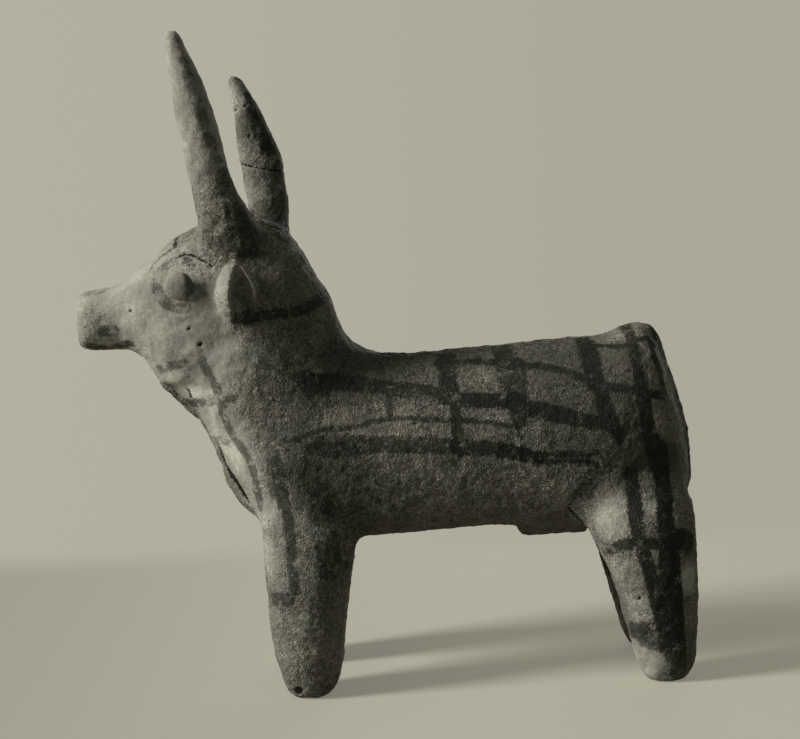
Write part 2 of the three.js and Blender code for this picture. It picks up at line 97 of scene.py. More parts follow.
def make_camera():
    data = bpy.data.cameras.new("camera")
    data.lens = view_lens
    data.clip_start = 0.05
    data.clip_end = 20
    camera = add_object("camera", data)
    camera.location = camera_place
    camera.rotation_mode = "QUATERNION"
    level = (-view_back).to_track_quat("-Z", "Y")
    camera.rotation_quaternion = level @ Quaternion((0, 0, 1), view_roll)
    bpy.context.scene.camera = camera
    return camera


print("camera at", [round(v, 3) for v in make_camera().location])

# %% [markdown]
# ## A short way to write node trees
# Shader trees and Geometry Nodes trees both hold math, noise and range nodes under the same
# names. Each node could be wired by hand in the editor, but a small helper adds a node and plugs
# its inputs in one line, so that a tree reads like a formula. A value may be a number, a vector
# or the socket of another node.
# %% Node tree helper


class Board:
    """A node tree that nodes are added to one formula at a time."""

    def __init__(self, tree):
        self.tree = tree

    def plug(self, socket, value):
        if isinstance(value, bpy.types.NodeSocket):
            self.tree.links.new(value, socket)
        else:
            socket.default_value = value

    def add(self, kind, inputs=None, **settings):
        node = self.tree.nodes.new(kind)
        for name, value in settings.items():
            setattr(node, name, value)
        for name, value in (inputs or {}).items():
            self.plug(node.inputs[name], value)
        return node

    def math(self, operation, a, b):
        return self.add("ShaderNodeMath", {0: a, 1: b}, operation=operation).outputs[0]

    def times(self, *values):
        return reduce(lambda a, b: self.math("MULTIPLY", a, b), values)

    def plus(self, *values):
        return reduce(lambda a, b: self.math("ADD", a, b), values)

    def minus(self, a, b):
        return self.math("SUBTRACT", a, b)

    def vector(self, operation, a, b=None, scale=None):
        inputs = {0: a}
        if b is not None:
            inputs[1] = b
        if scale is not None:
            inputs["Scale"] = scale
        node = self.add("ShaderNodeVectorMath", inputs, operation=operation)
        return node.outputs["Value" if operation == "DOT_PRODUCT" else "Vector"]

    def scale(self, size):
        """The Scale of a texture whose blobs or cells are about size across."""
        if isinstance(size, bpy.types.NodeSocket):
            return self.math("DIVIDE", 1.0, size)
        return 1 / size

    def noise(self, place, size, detail=2.0, roughness=0.5):
        """Noise from 0 to 1 whose blobs are about size across, in the units of place."""
        inputs = {"Vector": place, "Scale": self.scale(size)}
        inputs.update({"Detail": detail, "Roughness": roughness})
        return self.add("ShaderNodeTexNoise", inputs).outputs[0]

    def step(self, value, start, end, low=0.0, high=1.0):
        """A soft step from low to high while the value goes from start to end."""
        inputs = {"Value": value, "From Min": start, "From Max": end}
        inputs.update({"To Min": low, "To Max": high})
        node = self.add("ShaderNodeMapRange", inputs, interpolation_type="SMOOTHSTEP")
        return node.outputs[0]

    def colour(self, share, a, b, blend="MIX"):
        inputs = {0: share, 6: a, 7: b}
        return self.add("ShaderNodeMix", inputs, data_type="RGBA", blend_type=blend).outputs[2]

    def axis(self, vector, name):
        return self.add("ShaderNodeSeparateXYZ", {0: vector}).outputs[name]


def group_tree(tree_kind, name, inputs, outputs):
    """A node group with its sockets, as a board and what is given to it and asked of it."""
    tree = bpy.data.node_groups.new(name, tree_kind)
    for label, kind, value in inputs:
        socket = tree.interface.new_socket(label, in_out="INPUT", socket_type="NodeSocket" + kind)
        if value is not None:
            socket.default_value = value
    for label, kind in outputs:
        tree.interface.new_socket(label, in_out="OUTPUT", socket_type="NodeSocket" + kind)
    board = Board(tree)
    return board, board.add("NodeGroupInput").outputs, board.add("NodeGroupOutput").inputs


print("helper ready")

# %% [markdown]
# ## The clay form, one skin over all the pieces
# On the bench the potter smears wet clay over every joint, so neck, legs and horns flow into the
# barrel. Separate meshes that only touch would show a hard line there. So the pieces of the frame
# are copied, welded and puffed by a hair until they overlap, and a voxel remesh draws one even
# skin over them. Nothing of the frame itself is touched.
# %% Copies of the pieces
puff = 0.25 * mm
weld_distance = 0.001 * mm
smeared_names = ["body_barrel", "rump_cap", "neck", "head", "horn_left", "horn_right_root",
                 "horn_right_tip", "leg_front_left", "leg_front_right", "leg_hind_left",
                 "leg_hind_right", "sheath", "tail"]
crisp_names = ["ear_left", "ear_right", "dewlap_upper", "dewlap_lower"]
eye_names = ["eye_left", "eye_right"]


def welded(names, grow=0.0):
    """Copies of frame pieces in one bmesh, corners merged, skins moved out by grow."""
    clay = bmesh.new()
    for name in names:
        clay.from_mesh(nodes[name].data)
    bmesh.ops.remove_doubles(clay, verts=clay.verts, dist=weld_distance)
    clay.normal_update()
    for corner in clay.verts:
        corner.co += corner.normal * grow
    return clay


def from_bmesh(name, clay):
    mesh = bpy.data.meshes.new(name)
    clay.to_mesh(mesh)
    clay.free()
    mesh.materials.clear()
    return add_object(name, mesh)


def settle(piece):
    """Turns what the modifiers make into the piece's own mesh."""
    graph = bpy.context.evaluated_depsgraph_get()
    made = piece.evaluated_get(graph)
    mesh = bpy.data.meshes.new_from_object(made, preserve_all_data_layers=True, depsgraph=graph)
    piece.modifiers.clear()
    old = piece.data
    piece.data = mesh
    bpy.data.meshes.remove(old)
    return piece


def remesh(piece, voxel):
    step = piece.modifiers.new("even skin", "REMESH")
    step.mode = "VOXEL"
    step.voxel_size = voxel
    step.use_smooth_shade = True
    return settle(piece)


def core_of(name, wall):
    """A plug that fills a hollow piece: its hull, drawn in by half of the wall."""
    clay = welded([name])
    hull = bmesh.ops.convex_hull(clay, input=clay.verts)
    keep = set(hull["geom"]) - set(hull["geom_interior"])
    bmesh.ops.delete(clay, geom=[v for v in clay.verts if v not in keep], context="VERTS")
    low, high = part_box(name)
    middle = (low + high) / 2
    shrink = Vector([1 - wall / side for side in (high - low)])
    for corner in clay.verts:
        corner.co = middle + (corner.co - middle) * shrink
    return clay


def joined(name, *parts):
    """Several bmeshes as one object."""
    whole = bmesh.new()
    for part in parts:
        mesh = bpy.data.meshes.new("part")
        part.to_mesh(mesh)
        part.free()
        whole.from_mesh(mesh)
        bpy.data.meshes.remove(mesh)
    return from_bmesh(name, whole)


barrel_wall = 8 * mm
rough_voxel = 1.2 * mm
form = joined("form", welded(smeared_names, puff), core_of("body_barrel", barrel_wall))
remesh(form, rough_voxel)
print("rough skin:", len(form.data.vertices), "corners")

# %% [markdown]
# ## Smearing the joints
# Blurring a skin's places rounds it, but it also eats horns and feet. Two steps avoid that. The
# first moves a corner only outwards, and only where the blurred skin lies outside, so it fills
# the valleys at the joints as a thumb does. The second blurs the places and adds back the blurred
# difference, which takes off the facets and keeps the volume. Slim parts get a weaker weight.
# %% Geometry Nodes: smear


def geometry_tree(name, inputs):
    inputs = [("Geometry", "Geometry", None), *inputs]
    return group_tree("GeometryNodeTree", name, inputs, [("Geometry", "Geometry")])


def use_tree(piece, tree, **values):
    """Runs the tree on a piece as a modifier, with values for its inputs."""
    step = piece.modifiers.new(tree.name, "NODES")
    step.node_group = tree
    labels = {s.name: s.identifier for s in tree.interface.items_tree if s.in_out == "INPUT"}
    for label, value in values.items():
        step[labels[label.replace("_", " ")]] = value
    settle(piece)


def blur(board, value, rounds, weight):
    inputs = {"Value": value, "Iterations": rounds, "Weight": weight}
    return board.add("GeometryNodeBlurAttribute", inputs, data_type="FLOAT_VECTOR").outputs[0]


def smear_tree():
    inputs = [("fill rounds", "Int", 40), ("fill share", "Float", 1.0), ("rounds", "Int", 20),
              ("slim weight", "Float", 0.1), ("horn foot", "Float", 0.2),
              ("muzzle edge", "Float", -0.1), ("fade", "Float", 0.02)]
    board, given, out = geometry_tree("smear", inputs)
    place = board.add("GeometryNodeInputPosition").outputs[0]
    normal = board.add("GeometryNodeInputNormal").outputs["Normal"]
    # 1 on the body, and the slim weight up the horns and at the end of the muzzle.
    horn_end = board.plus(given["horn foot"], given["fade"])
    above = board.step(board.axis(place, "Z"), given["horn foot"], horn_end)
    muzzle_end = board.minus(given["muzzle edge"], given["fade"])
    before = board.step(board.axis(place, "X"), given["muzzle edge"], muzzle_end)
    slim = board.math("MAXIMUM", above, before)
    weight = board.step(slim, 0.0, 1.0, 1.0, given["slim weight"])
    filled = blur(board, place, given["fill rounds"], weight)
    lift = board.vector("DOT_PRODUCT", board.vector("SUBTRACT", filled, place), normal)
    lift = board.times(board.math("MAXIMUM", lift, 0.0), given["fill share"])
    offset = board.vector("SCALE", normal, scale=lift)
    first = board.add("GeometryNodeSetPosition", {"Geometry": given["Geometry"], "Offset": offset})
    soft = blur(board, place, given["rounds"], weight)
    rest = blur(board, board.vector("SUBTRACT", place, soft), given["rounds"], weight)
    final = board.vector("ADD", soft, rest)
    inputs = {"Geometry": first.outputs[0], "Position": final}
    board.plug(out[0], board.add("GeometryNodeSetPosition", inputs).outputs[0])
    return board.tree


smear = smear_tree()
use_tree(form, smear, fill_rounds=90, fill_share=1.6, rounds=22, slim_weight=0.09,
         horn_foot=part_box("horn_right_root")[0].z + 6 * mm,
         muzzle_edge=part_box("head")[0].x + 30 * mm, fade=16 * mm)
print("smeared:", len(form.data.vertices), "corners")

# %% [markdown]
# ## The fine skin
# The ears and the strips under the throat are joined to the smeared form now, so that their
# edges stay crisp. A second voxel remesh with finer cells gives the mesh on which pits and cracks
# can stand out, and a light pass of the same smear takes the stair steps off.
# %% Fine remesh
fine_voxel = 0.72 * mm
rough_form = bmesh.new()
rough_form.from_mesh(form.data)
bpy.data.objects.remove(form)
form = joined("form", rough_form, welded(crisp_names, puff))
remesh(form, fine_voxel)
use_tree(form, smear, fill_rounds=6, fill_share=0.8, rounds=4, slim_weight=0.8,
         horn_foot=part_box("horn_right_root")[0].z, muzzle_edge=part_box("head")[0].x + 20 * mm,
         fade=10 * mm)
print("fine skin:", len(form.data.vertices), "corners")

# %% [markdown]
# ## Marks of hand and soil
# The clay is lumpy from the palms, pitted where grains fell out, and gritty where the slip is
# gone. A displacement picture would need a flat layout of the skin. Noise and cell textures
# inside Geometry Nodes need none: they read places in millimetres, so each size below is a real
# one, and move every corner along its normal.
# %% Geometry Nodes: worked surface
pit_group = 9.0
pit_where = (0.56, 0.64)
pit_bend, pit_bend_size = 2.4, 2.5
pit_rim = (0.05, 0.15)
grit_on_slip = 0.3


def worked_tree():
    inputs = [("lump height", "Float", 0.6), ("lump size", "Float", 24.0),
              ("dent height", "Float", 0.85), ("dent size", "Float", 7.0),
              ("pit depth", "Float", 0.6), ("pit spacing", "Float", 9.0),
              ("grit height", "Float", 0.42), ("grit size", "Float", 2.2)]
    board, given, out = geometry_tree("worked surface", inputs)
    place = board.add("GeometryNodeInputPosition").outputs[0]
    normal = board.add("GeometryNodeInputNormal").outputs["Normal"]
    point = board.vector("SCALE", place, scale=1 / mm)

    def swell(size, height, detail=2.0):
        """Noise that rises and sinks by about height."""
        wave = board.minus(board.noise(point, size, detail), 0.5)
        return board.times(wave, board.times(height, 2.0))

    # Each pit is a cell's middle, and a slow noise lets only some of the cells hold one. The
    # cells read bent places, so that a pit is never quite round.
    bend = {"Vector": point, "Scale": board.scale(pit_bend_size)}
    bend = board.add("ShaderNodeTexNoise", bend).outputs["Color"]
    bent = board.vector("ADD", point, board.vector("SCALE", bend, scale=pit_bend))
    cells = {"Vector": bent, "Scale": board.scale(given["pit spacing"])}
    middle = board.add("ShaderNodeTexVoronoi", cells).outputs["Distance"]
    some = board.step(board.noise(point, pit_group), *pit_where)
    hole = board.times(board.step(middle, *pit_rim, 1.0, 0.0), some)
    bare = board.add("GeometryNodeInputNamedAttribute", {"Name": "bare"}, data_type="FLOAT")
    share = board.plus(board.times(bare.outputs[0], 1 - grit_on_slip), grit_on_slip)
    rough = board.times(swell(given["grit size"], given["grit height"], 3.0), share)
    relief = board.minus(rough, board.times(hole, given["pit depth"]))
    height = board.plus(swell(given["lump size"], given["lump height"]),
                        swell(given["dent size"], given["dent height"]), relief)
    offset = board.vector("SCALE", normal, scale=board.times(height, mm))
    inputs = {"Geometry": given["Geometry"], "Name": "relief", "Value": relief}
    kept = board.add("GeometryNodeStoreNamedAttribute", inputs, data_type="FLOAT", domain="POINT")
    inputs = {"Geometry": kept.outputs[0], "Offset": offset}
    board.plug(out[0], board.add("GeometryNodeSetPosition", inputs).outputs[0])
    return board.tree


worked = worked_tree()
print("worked surface:", len(worked.nodes), "nodes")

# %% [markdown]
# ## Finding places on the clay
# A painter works on the surface, so every stroke, crack and patch below is given by a few points
# in millimetres on the bull's middle plane, as they look from the camera's place. A ray from
# there through such a point lands on the clay. The same points seen from the other side, or
# parallel rays from above and behind, reach what the camera doesn't see.
# %% Rays onto the clay
LEFT, RIGHT = -1, 1


def read(items, name, kind=float, each=1):
    """What a mesh says of each of its corners, loops or faces, as an array."""
    values = np.empty(len(items) * each, kind)
    items.foreach_get(name, values)
    return values.reshape(-1, each) if each > 1 else values


def skin_of(piece):
    return read(piece.data.vertices, "co", each=3)


def tree_of(piece):
    return BVHTree.FromObject(piece, bpy.context.evaluated_depsgraph_get())


def cast(surface, point, view):
    """Where a point on a viewing plane, in mm, lands on the clay, or None."""
    across, up = point[0] * mm, point[1] * mm
    if view == "above":
        start, towards = Vector((across, up, 1)), Vector((0, 0, -1))
    elif view == "behind":
        start, towards = Vector((1, across, up)), Vector((-1, 0, 0))
    else:
        start = Vector((camera_place.x, -view * camera_place.y, camera_place.z))
        towards = Vector((across, 0, up)) - start
    return surface.ray_cast(start, towards.normalized())[0]


def curved(points, gap=3.0):
    """A smooth line through the points, with a point every gap or so."""
    points = np.array(points, float)
    padded = np.vstack([2 * points[0] - points[1], points, 2 * points[-1] - points[-2]])
    line = []
    for a, b, c, d in zip(padded, padded[1:], padded[2:], padded[3:]):
        count = max(1, int(np.linalg.norm((c - b)[:2]) / gap))
        for t in np.arange(count) / count:
            square = 2 * a - 5 * b + 4 * c - d
            cube = 3 * b - a - 3 * c + d
            line.append(b + t * ((c - a) / 2 + t * (square / 2 + t * cube / 2)))
    line.append(points[-1])
    return line


def draped(surface, points, view):
    """A smooth line on the clay in metres, with the width and strength of each of its points."""
    line = curved(points)
    hits = [cast(surface, point, view) for point in line]
    kept = [number for number, hit in enumerate(hits) if hit is not None]
    return np.array([hits[k] for k in kept]), np.array([line[k][2:] for k in kept])


surface = tree_of(form)
print("the middle of the flank is at", cast(surface, (30, 110), LEFT))

# %% [markdown]
# ## How near a corner is to a line
# Neither a picture nor a projected texture could carry a line round a leg without a stretch. So a
# line's effect is worked out on the corners of the skin: each one near the line learns how deep
# it lies inside the line's width, and how strong the line is there.
# %% Distance from a line


def near_path(places, path, rows, reach):
    """Corners near a path, how deep they lie inside its width, and the path's strength there."""
    low, high = path.min(0) - reach, path.max(0) + reach
    near = np.flatnonzero(((places > low) & (places < high)).all(1))
    inside = np.full(len(near), -reach / mm)
    strength = np.zeros(len(near))
    for start, end, row, next_row in zip(path, path[1:], rows, rows[1:]):
        along = end - start
        share = np.clip((places[near] - start) @ along / max(along @ along, 1e-12), 0, 1)
        off = np.linalg.norm(places[near] - start - share[:, None] * along, axis=1)
        width, strong = row[:, None] + (next_row - row)[:, None] * share
        depth = width / 2 - off / mm
        better = depth > inside
        inside[better] = depth[better]
        strength[better] = strong[better]
    return near, inside, strength


def near_lines(surface, places, lines, reach):
    """The same for each line that lands on the clay, with the reach in mm."""
    for view, points in lines:
        path, rows = draped(surface, points, view)
        if len(path) > 1:
            yield near_path(places, path, rows, reach * mm)


def brushed(width, strength, points):
    """Points with a width and a strength each, where a point doesn't bring its own."""
    return [(*point, *(width, strength)[len(point) - 2:]) for point in points]


print("a point with its width and strength:", brushed(5, 0.8, [(30, 110)])[0])

# %% [markdown]
# ## Where the slip still holds
# Grit shows where the pale slip wore off, and the cheeks, the forehead and the upper horn kept
# theirs. Each patch is a centre, a radius and how bare it is, from 0 for whole slip to 1 for grit.
# Below 0 the slip is paler: thick slip, and painted light on the lit left of the neck and chest
# and on the shaded right strip of the hind leg. The mask is stored on the corners, where both the
# Geometry Nodes and the materials read it.
# %% Worn and whole patches
bare_ground = 1.0
patch_fade = 1.5    # a patch is whole up to half of its radius and gone at one and a half
bare_and_painted_light_patches = [
    # Below 0: thick slip, and painted light on the neck and chest and on the hind leg at (134,
    # 37).
    (-112, 178, 30, 0.0), (-95, 202, 20, 0.0), (-134, 168, 10, 0.3), (-77, 182, 10, 0.25),
    (-50, 205, 26, 0.7), (-88, 142, 18, -0.3), (-78, 145, 14, -0.3), (-76, 125, 14, -0.3),
    (-72, 112, 14, -0.2), (-64, 98, 12, -0.2), (-60, 140, 14, 0.15), (-60, 120, 12, 0.15),
    (-60, 84, 12, -0.1), (-57, 55, 10, 0.35), (-86, 285, 26, -0.1), (-80, 260, 16, 0.0),
    (-76, 240, 14, 0.2), (-48, 128, 18, 1.0), (-42, 100, 20, 1.0), (-40, 40, 18, 1.0),
    (-66, 180, 10, 0.0), (-43, 51, 6, 0.5), (-45, 25, 6, 0.5), (99, 74, 8, 0.25),
    (99, 64, 8, 0.25), (106, 40, 10, 0.45), (110, 25, 8, 0.45), (113, -2, 12, -0.1),
    (-84, 160, 18, 0.0), (117, 72, 4, 0.4), (134, 37, 7, -0.4), (-56, 222, 8, 0.4),
    (-58, 246, 8, 0.4), (-30, 68, 8, 0.5), (-55, 262, 12, 0.2),
]


def patch_mask(surface, places, ground, patches):
    """Blends every patch over the ground value, on both sides."""
    mask = np.full(len(places), ground)
    for x, z, radius, value in patches:
        for view in (LEFT, RIGHT):
            centre = cast(surface, (x, z), view)
            if centre is None:
                continue
            away = np.linalg.norm(places - np.array(centre), axis=1) / (radius * mm)
            share = np.clip(patch_fade - away, 0, 1)
            share = share * share * (3 - 2 * share)
            mask += (value - mask) * share
    return mask


def store(mesh, name, values):
    layer = mesh.attributes.get(name) or mesh.attributes.new(name, "FLOAT", "POINT")
    layer.data.foreach_set("value", values.astype(np.float32))


places = skin_of(form)
store(form.data, "bare", patch_mask(surface, places, bare_ground, bare_and_painted_light_patches))
use_tree(form, worked)
places = skin_of(form)
surface = tree_of(form)
print("worked skin:", len(places), "corners")

# %% [markdown]
# ## Brushed lines
# The painter drew thin and thick dark lines along the body, crossed them with uprights over the
# back, and ran bands down the legs. A few strokes are painted shade: in the ear's hollow, on the
# back of the skull, on the shaded side of the front leg and on the back edge of the hind leg, and
# the band down the near horn's shaded side is paint and painted shade. A stroke is its width, how
# strong it still is, and its points, of which each may bring a width and a strength of its own.
# What is stored is the stroke's reach in millimetres: half the width less the distance from the
# stroke, so it is positive inside. The material cuts a ragged edge out of it, finer than the mesh
# could.
# %% Strokes
body_lines = [
    (4.0, 0.9, [(23.5, 142.5), (41, 143), (50, 141.7), (61.5, 140), (71, 139), (80.5, 136.6),
                 (88, 133), (97, 129.3), (108, 127), (115, 125), (124, 123)]),
    (7.8, 0.8, [(-37, 137), (-20, 136), (-10, 134.5), (0, 133), (9, 131.4), (19, 129.5),
                (31, 126, 7.6, 0.9), (54, 123.8, 7.4, 1), (61.5, 120.5, 7.6, 1), (70, 118.7, 8, 1),
                (79, 116, 7.5, 1), (88, 113.5, 6.5, 1), (97, 111.5, 6, 0.9), (104, 108, 5, 0.8)]),
    (3.0, 0.65, [(0.5, 130), (1, 120)]),
    (2.2, 0.8, [(-47, 110), (-40, 111.4), (-32, 114.7), (-22, 115), (-13, 115.7), (-7.5, 117.7),
                 (6, 118.5), (20, 117), (42, 115.2), (56, 112)]),
    (7.5, 0.72, [(-37, 106.5, 5, 0.6), (-31, 105.8), (-22, 105.5), (-12, 106.4), (0, 106.5),
                 (15, 105.4), (33, 103.8), (47, 102, 7, 0.9), (60, 99, 7, 1), (64, 97.6, 6, 1)]),
    (3.2, 0.95, [(60, 99), (75, 98.5), (89, 98), (94, 98.5)]),
    (2.6, 0.95, [(62, 96), (75, 95), (89, 94.5), (93, 93)]),
    (3.4, 0.9, [(95, 147.5), (109, 146.7), (113, 149), (122, 150)]),
    (5.0, 0.6, [(-17, 109), (-13, 109)]),
]
uprights = [
    (6.0, 0.85, [(28.4, 146), (28.6, 137), (30.6, 120, 5), (31, 110, 5, 0.9),
                 (32, 103, 5, 1), (32, 100.5, 4, 1)]),
    (8.0, 0.8, [(54, 149, 7, 0.6), (58, 142), (59.3, 136), (59.3, 127), (58.6, 118, 7.5),
                (58.8, 113.5, 6)]),
    (3.5, 0.6, [(50, 151), (52, 147), (55, 144.5)]),
    (6.8, 1.0, [(91, 149), (93, 141), (94, 136), (95.3, 129.6), (97, 123.5), (99, 116),
                 (101.4, 110.5), (104.3, 105, 5.5)]),
    (4.2, 0.95, [(111.2, 146, 3.5), (112.6, 138.5), (114, 131, 5.7), (115.6, 123, 7),
                 (116.3, 115.5, 6), (117.6, 108, 7), (119.8, 100, 8), (121, 92.5, 8),
                 (123, 84, 8)]),
    (5.0, 0.9, [(119, 150), (121.3, 141.5), (123.2, 134.5), (126, 125)]),
]
leg_bands_and_shade = [
    (6.5, 0.95, [(108.5, 88), (110, 76), (110.7, 66), (112, 56, 6), (115.5, 44), (118.5, 30),
                 (121, 18)]),
    (8.0, 1.0, [(122.5, 98, 7), (123.5, 84, 7.5), (124, 70), (125, 56, 9), (125.5, 42, 10.5),
                (126, 28, 11), (126.5, 14, 11), (127, 2, 10, 0.8), (127.5, -6, 9, 0.5)]),
    (5.0, 0.8, [(98.5, 52, 4), (104, 54.5), (112, 55.5, 6), (119, 54)]),
    # Painted shade: the dark back edge of the hind leg.
    (9.0, 0.9, [(128, 57), (134, 55)]),
    (9.0, 0.7, [(107, 14), (112, 13.5), (118, 12)]),
    (6.0, 0.65, [(111, 9), (121, 5)]),
    (4.8, 0.8, [(-50.5, 100), (-49, 85), (-47.5, 70), (-47, 60), (-47, 50), (-46.5, 40)]),
    (6.5, 0.65, [(-61, 37), (-56, 37), (-50, 36)]),
    # Painted shade: the shaded side of the front leg.
    (12.0, 0.55, [(-34, 95), (-33, 76), (-30, 62), (-30, 50)]),
]
neck_lines = [
    (4.6, 0.6, [(-82.5, 149, 4), (-78.5, 140), (-75.3, 132), (-74.3, 124.5), (-70.5, 113),
                (-65.5, 106), (-62.5, 98.5), (-61, 87), (-60, 80, 4, 0.4)]),
    (7.0, 0.35, [(-56, 150), (-55, 138), (-54, 115), (-53, 98), (-52, 82)]),
    (4.4, 0.6, [(-103, 145), (-97, 147), (-90, 148.5)]),
    (6.0, 0.4, [(-99, 139), (-94, 132)]),
    (5.0, 0.7, [(-97, 132), (-89, 130), (-80, 130.5, 4.6, 0.6), (-70, 131, 4, 0.4)]),
    (4.5, 0.4, [(-80, 112.5), (-74, 112)]),
    (5.0, 0.8, [(-66, 166, 4), (-52, 168.5), (-36, 170), (-22, 178)]),
    (9.0, 0.4, [(-52, 150), (-38, 140), (-30, 128)]),
]
head_marks_and_shade = [
    (2.4, 1.0, [(-85, 208.5), (-90, 205), (-91, 201), (-99, 196, 2, 0.7), (-104, 190, 1.6, 0.5)]),
    (1.2, 0.7, [(-131, 181.5), (-127, 181.8), (-122, 183.5)]),
    (4.0, 0.4, [(-78.5, 193, 4), (-78, 184, 5), (-79, 175, 4.5)]),
    (5.0, 0.6, [(-126, 164.5), (-121, 164.5)]),
    (4.5, 0.8, [(-132, 158), (-124, 157), (-114, 158.5)]),
    # Painted shade in the ear's hollow.
    (4.0, 0.3, [(-64.5, 188, 3), (-64, 180, 8.5), (-64, 173, 11), (-62.5, 168, 11)]),
    (9.0, 0.45, [(-75.5, 212), (-74.5, 202), (-73, 196)]),
    # Painted shade on the back of the skull.
    (12.0, 0.55, [(-62, 214), (-62, 205), (-60, 196)]),
    (9.0, 0.7, [(-67, 231), (-65, 222), (-63, 212), (-62, 204, 9, 0.5)]),
    # Paint and painted shade down the shaded side of the near horn.
    (4.5, 0.5, [(-85, 292, 3), (-79.5, 272), (-74, 253, 5), (-69.5, 240, 6)]),
    (8.0, 0.85, [(-54.5, 266, 5), (-51, 254), (-47, 243)]),
    (7.0, 0.6, [(-43, 234), (-41.5, 222), (-41, 212), (-44, 205, 12)]),
    (3.0, 0.5, [(-64, 204), (-57, 206)]),
]


sway, sway_length = (2.5, 2.0), (15, 19)


def wavering(stroke):
    """The same stroke for the other flank, drawn again by a hand that wavers."""
    return [(x + sway[0] * math.sin(z / sway_length[0]),
             z + sway[1] * math.sin(x / sway_length[1] + 1), *rest) for x, z, *rest in stroke]


def eye_ring():
    """The worn ring round the eye, open towards the ear, where the paint is gone."""
    x, z, radius = -90, 184, 10.6
    angles = np.radians(np.arange(60, 290, 20))
    return 5.0, 0.6, [(x + radius * math.cos(a), z + radius * math.sin(a)) for a in angles]


near_side = body_lines + uprights + leg_bands_and_shade + neck_lines + head_marks_and_shade + [eye_ring()]
near_side = [brushed(*stroke) for stroke in near_side]
strokes = [(LEFT, stroke) for stroke in near_side]
strokes += [(RIGHT, wavering(stroke)) for stroke in near_side]
strokes.append(("behind", brushed(12, 0.9, [(0, 152), (0, 125), (0, 90)])))
over_back = [(26, 5.5, 0.45), (53, 7.5, 0.8), (90, 6.5, 0.9), (110, 5.0, 0.9)]
for x, width, strength in over_back:
    strokes.append(("above", brushed(width, strength, [(x, -30), (x - 2, 0), (x, 30)])))


stroke_reach = 12.0    # in mm, like every distance that is stored on the corners
halo, halo_fade = 3.0, 1.5


def stroke_layers(surface, places, strokes):
    """How deep each corner lies inside a stroke, in mm, and how strong the stroke is there."""
    ink = np.full(len(places), -stroke_reach)
    strong = np.zeros(len(places))
    for near, inside, strength in near_lines(surface, places, strokes, stroke_reach):
        ink[near] = np.maximum(ink[near], inside)
        faded = strength * np.clip((inside + halo) / halo_fade, 0, 1)
        strong[near] = np.maximum(strong[near], faded)
    return ink, strong


ink, strong = stroke_layers(surface, places, strokes)
print("strokes:", len(strokes), "corners under ink:", int((ink > 0).sum()))

# %% [markdown]
# ## Faded patches
# Beside the clear strokes there are dim patches. Some are stains of paint or soil, and some are
# painted shade: on the back of the skull, on the right of the neck, on the rump and on the back of
# the hind leg, with a painted shadow of the neck on the top of the barrel. They are made like the
# patches of bare clay, with how dark the patch is in place of how bare.
# %% Stains and painted shade
# Stains, and painted shade where the skull, the neck's right, the rump and the hind leg's back
# turn from the lamp, with the neck's painted shadow on the barrel.
stain_and_shade_patches = [
    (-40, 182, 24, 0.35), (-36, 152, 22, 0.5), (-58, 204, 12, 0.8),
    (-40, 124, 16, 0.7), (-10, 78, 26, 0.5), (-28, 94, 18, 1.1), (20, 148, 30, 0.8),
    (78, 142, 24, 0.7), (78, 126, 18, 1.0), (84, 108, 22, 0.9), (104, 137, 14, 1.3),
    (106, 116, 12, 1.1), (116, 97, 9, 1.2), (127, 95, 7, 1.0), (105, 97, 7, 1.0),
    (87, 81, 6, 0.8), (118, 14, 9, 0.5), (133, 54, 6, 0.9), (105, 156, 10, 1.1),
    (40, 110, 30, 0.4), (-28, 50, 14, 0.5), (128, -6, 9, 0.5), (-50, 214, 8, 0.7),
    (-53, 252, 11, 0.8), (-14, 140, 18, 0.9), (-100, 136, 6, 0.9),
]
stain = patch_mask(surface, places, 0.0, stain_and_shade_patches)
print("stained corners:", int((stain > 0.3).sum()))

# %% [markdown]
# ## Cracks
# The clay cracked as it dried, mostly at luted joints: over the eye, at the right horn's foot and
# where a leg meets the belly. The strip on the chest lifted off, and a few pits are as dark. A
# boolean cut would tear the even skin, so the corners near a crack sink by a fraction of a
# millimetre, and the distance from it is stored so that the material can darken the gap.
# %% Cracks
joint_cracks = [
    (0.2, 0.7, [(-89.5, 196.8), (-87.5, 197.5), (-84, 197), (-80, 194.5), (-75, 191.5)]),
    (0.3, 0.6, [(80, 73), (86, 66), (90, 60), (94, 50), (99, 38)]),
    (0.3, 0.7, [(-56, 214), (-51, 210), (-41, 205)]),
    (0.3, 0.5, [(-61, 260), (-56, 262)]),
]
strip_gap = [
    (0.3, 0.7, [(-89.5, 136), (-88.4, 132.5)]),
    (0.3, 1.4, [(-77, 108.5), (-75.8, 104, 3.0), (-74.8, 100, 5.5), (-73, 96.5, 5.5),
                (-70.3, 92, 4.0), (-67.4, 86, 3.0), (-65.2, 82, 0.6)]),
]
pits = [(-87.7, 163.5, 0.3), (-83, 156, 0.7), (110.5, 28.5, 0.4), (-48, -8, 3.0)]
pit_marks = [(width, 0.7, [(x, z), (x + 0.8, z + 0.6)]) for x, z, width in pits]
crack_lines = [(LEFT, brushed(*crack)) for crack in joint_cracks + strip_gap + pit_marks]
crack_lines += [(RIGHT, brushed(*crack)) for crack in joint_cracks]
crack_width = 0.9
crack_reach = 6.0


def crack_layers(surface, places):
    """How far each corner is from a crack, and how deep the crack sinks it, in mm."""
    gap = np.full(len(places), crack_reach)
    depth = np.zeros(len(places))
    for near, inside, strength in near_lines(surface, places, crack_lines, crack_reach):
        away = np.maximum(-inside, 0)
        gap[near] = np.minimum(gap[near], away)
        sink = strength * np.clip(1 - away / crack_width, 0, 1)
        depth[near] = np.maximum(depth[near], sink)
    return gap, depth


crack, sink = crack_layers(surface, places)
print("cracked corners:", int((sink > 0).sum()))

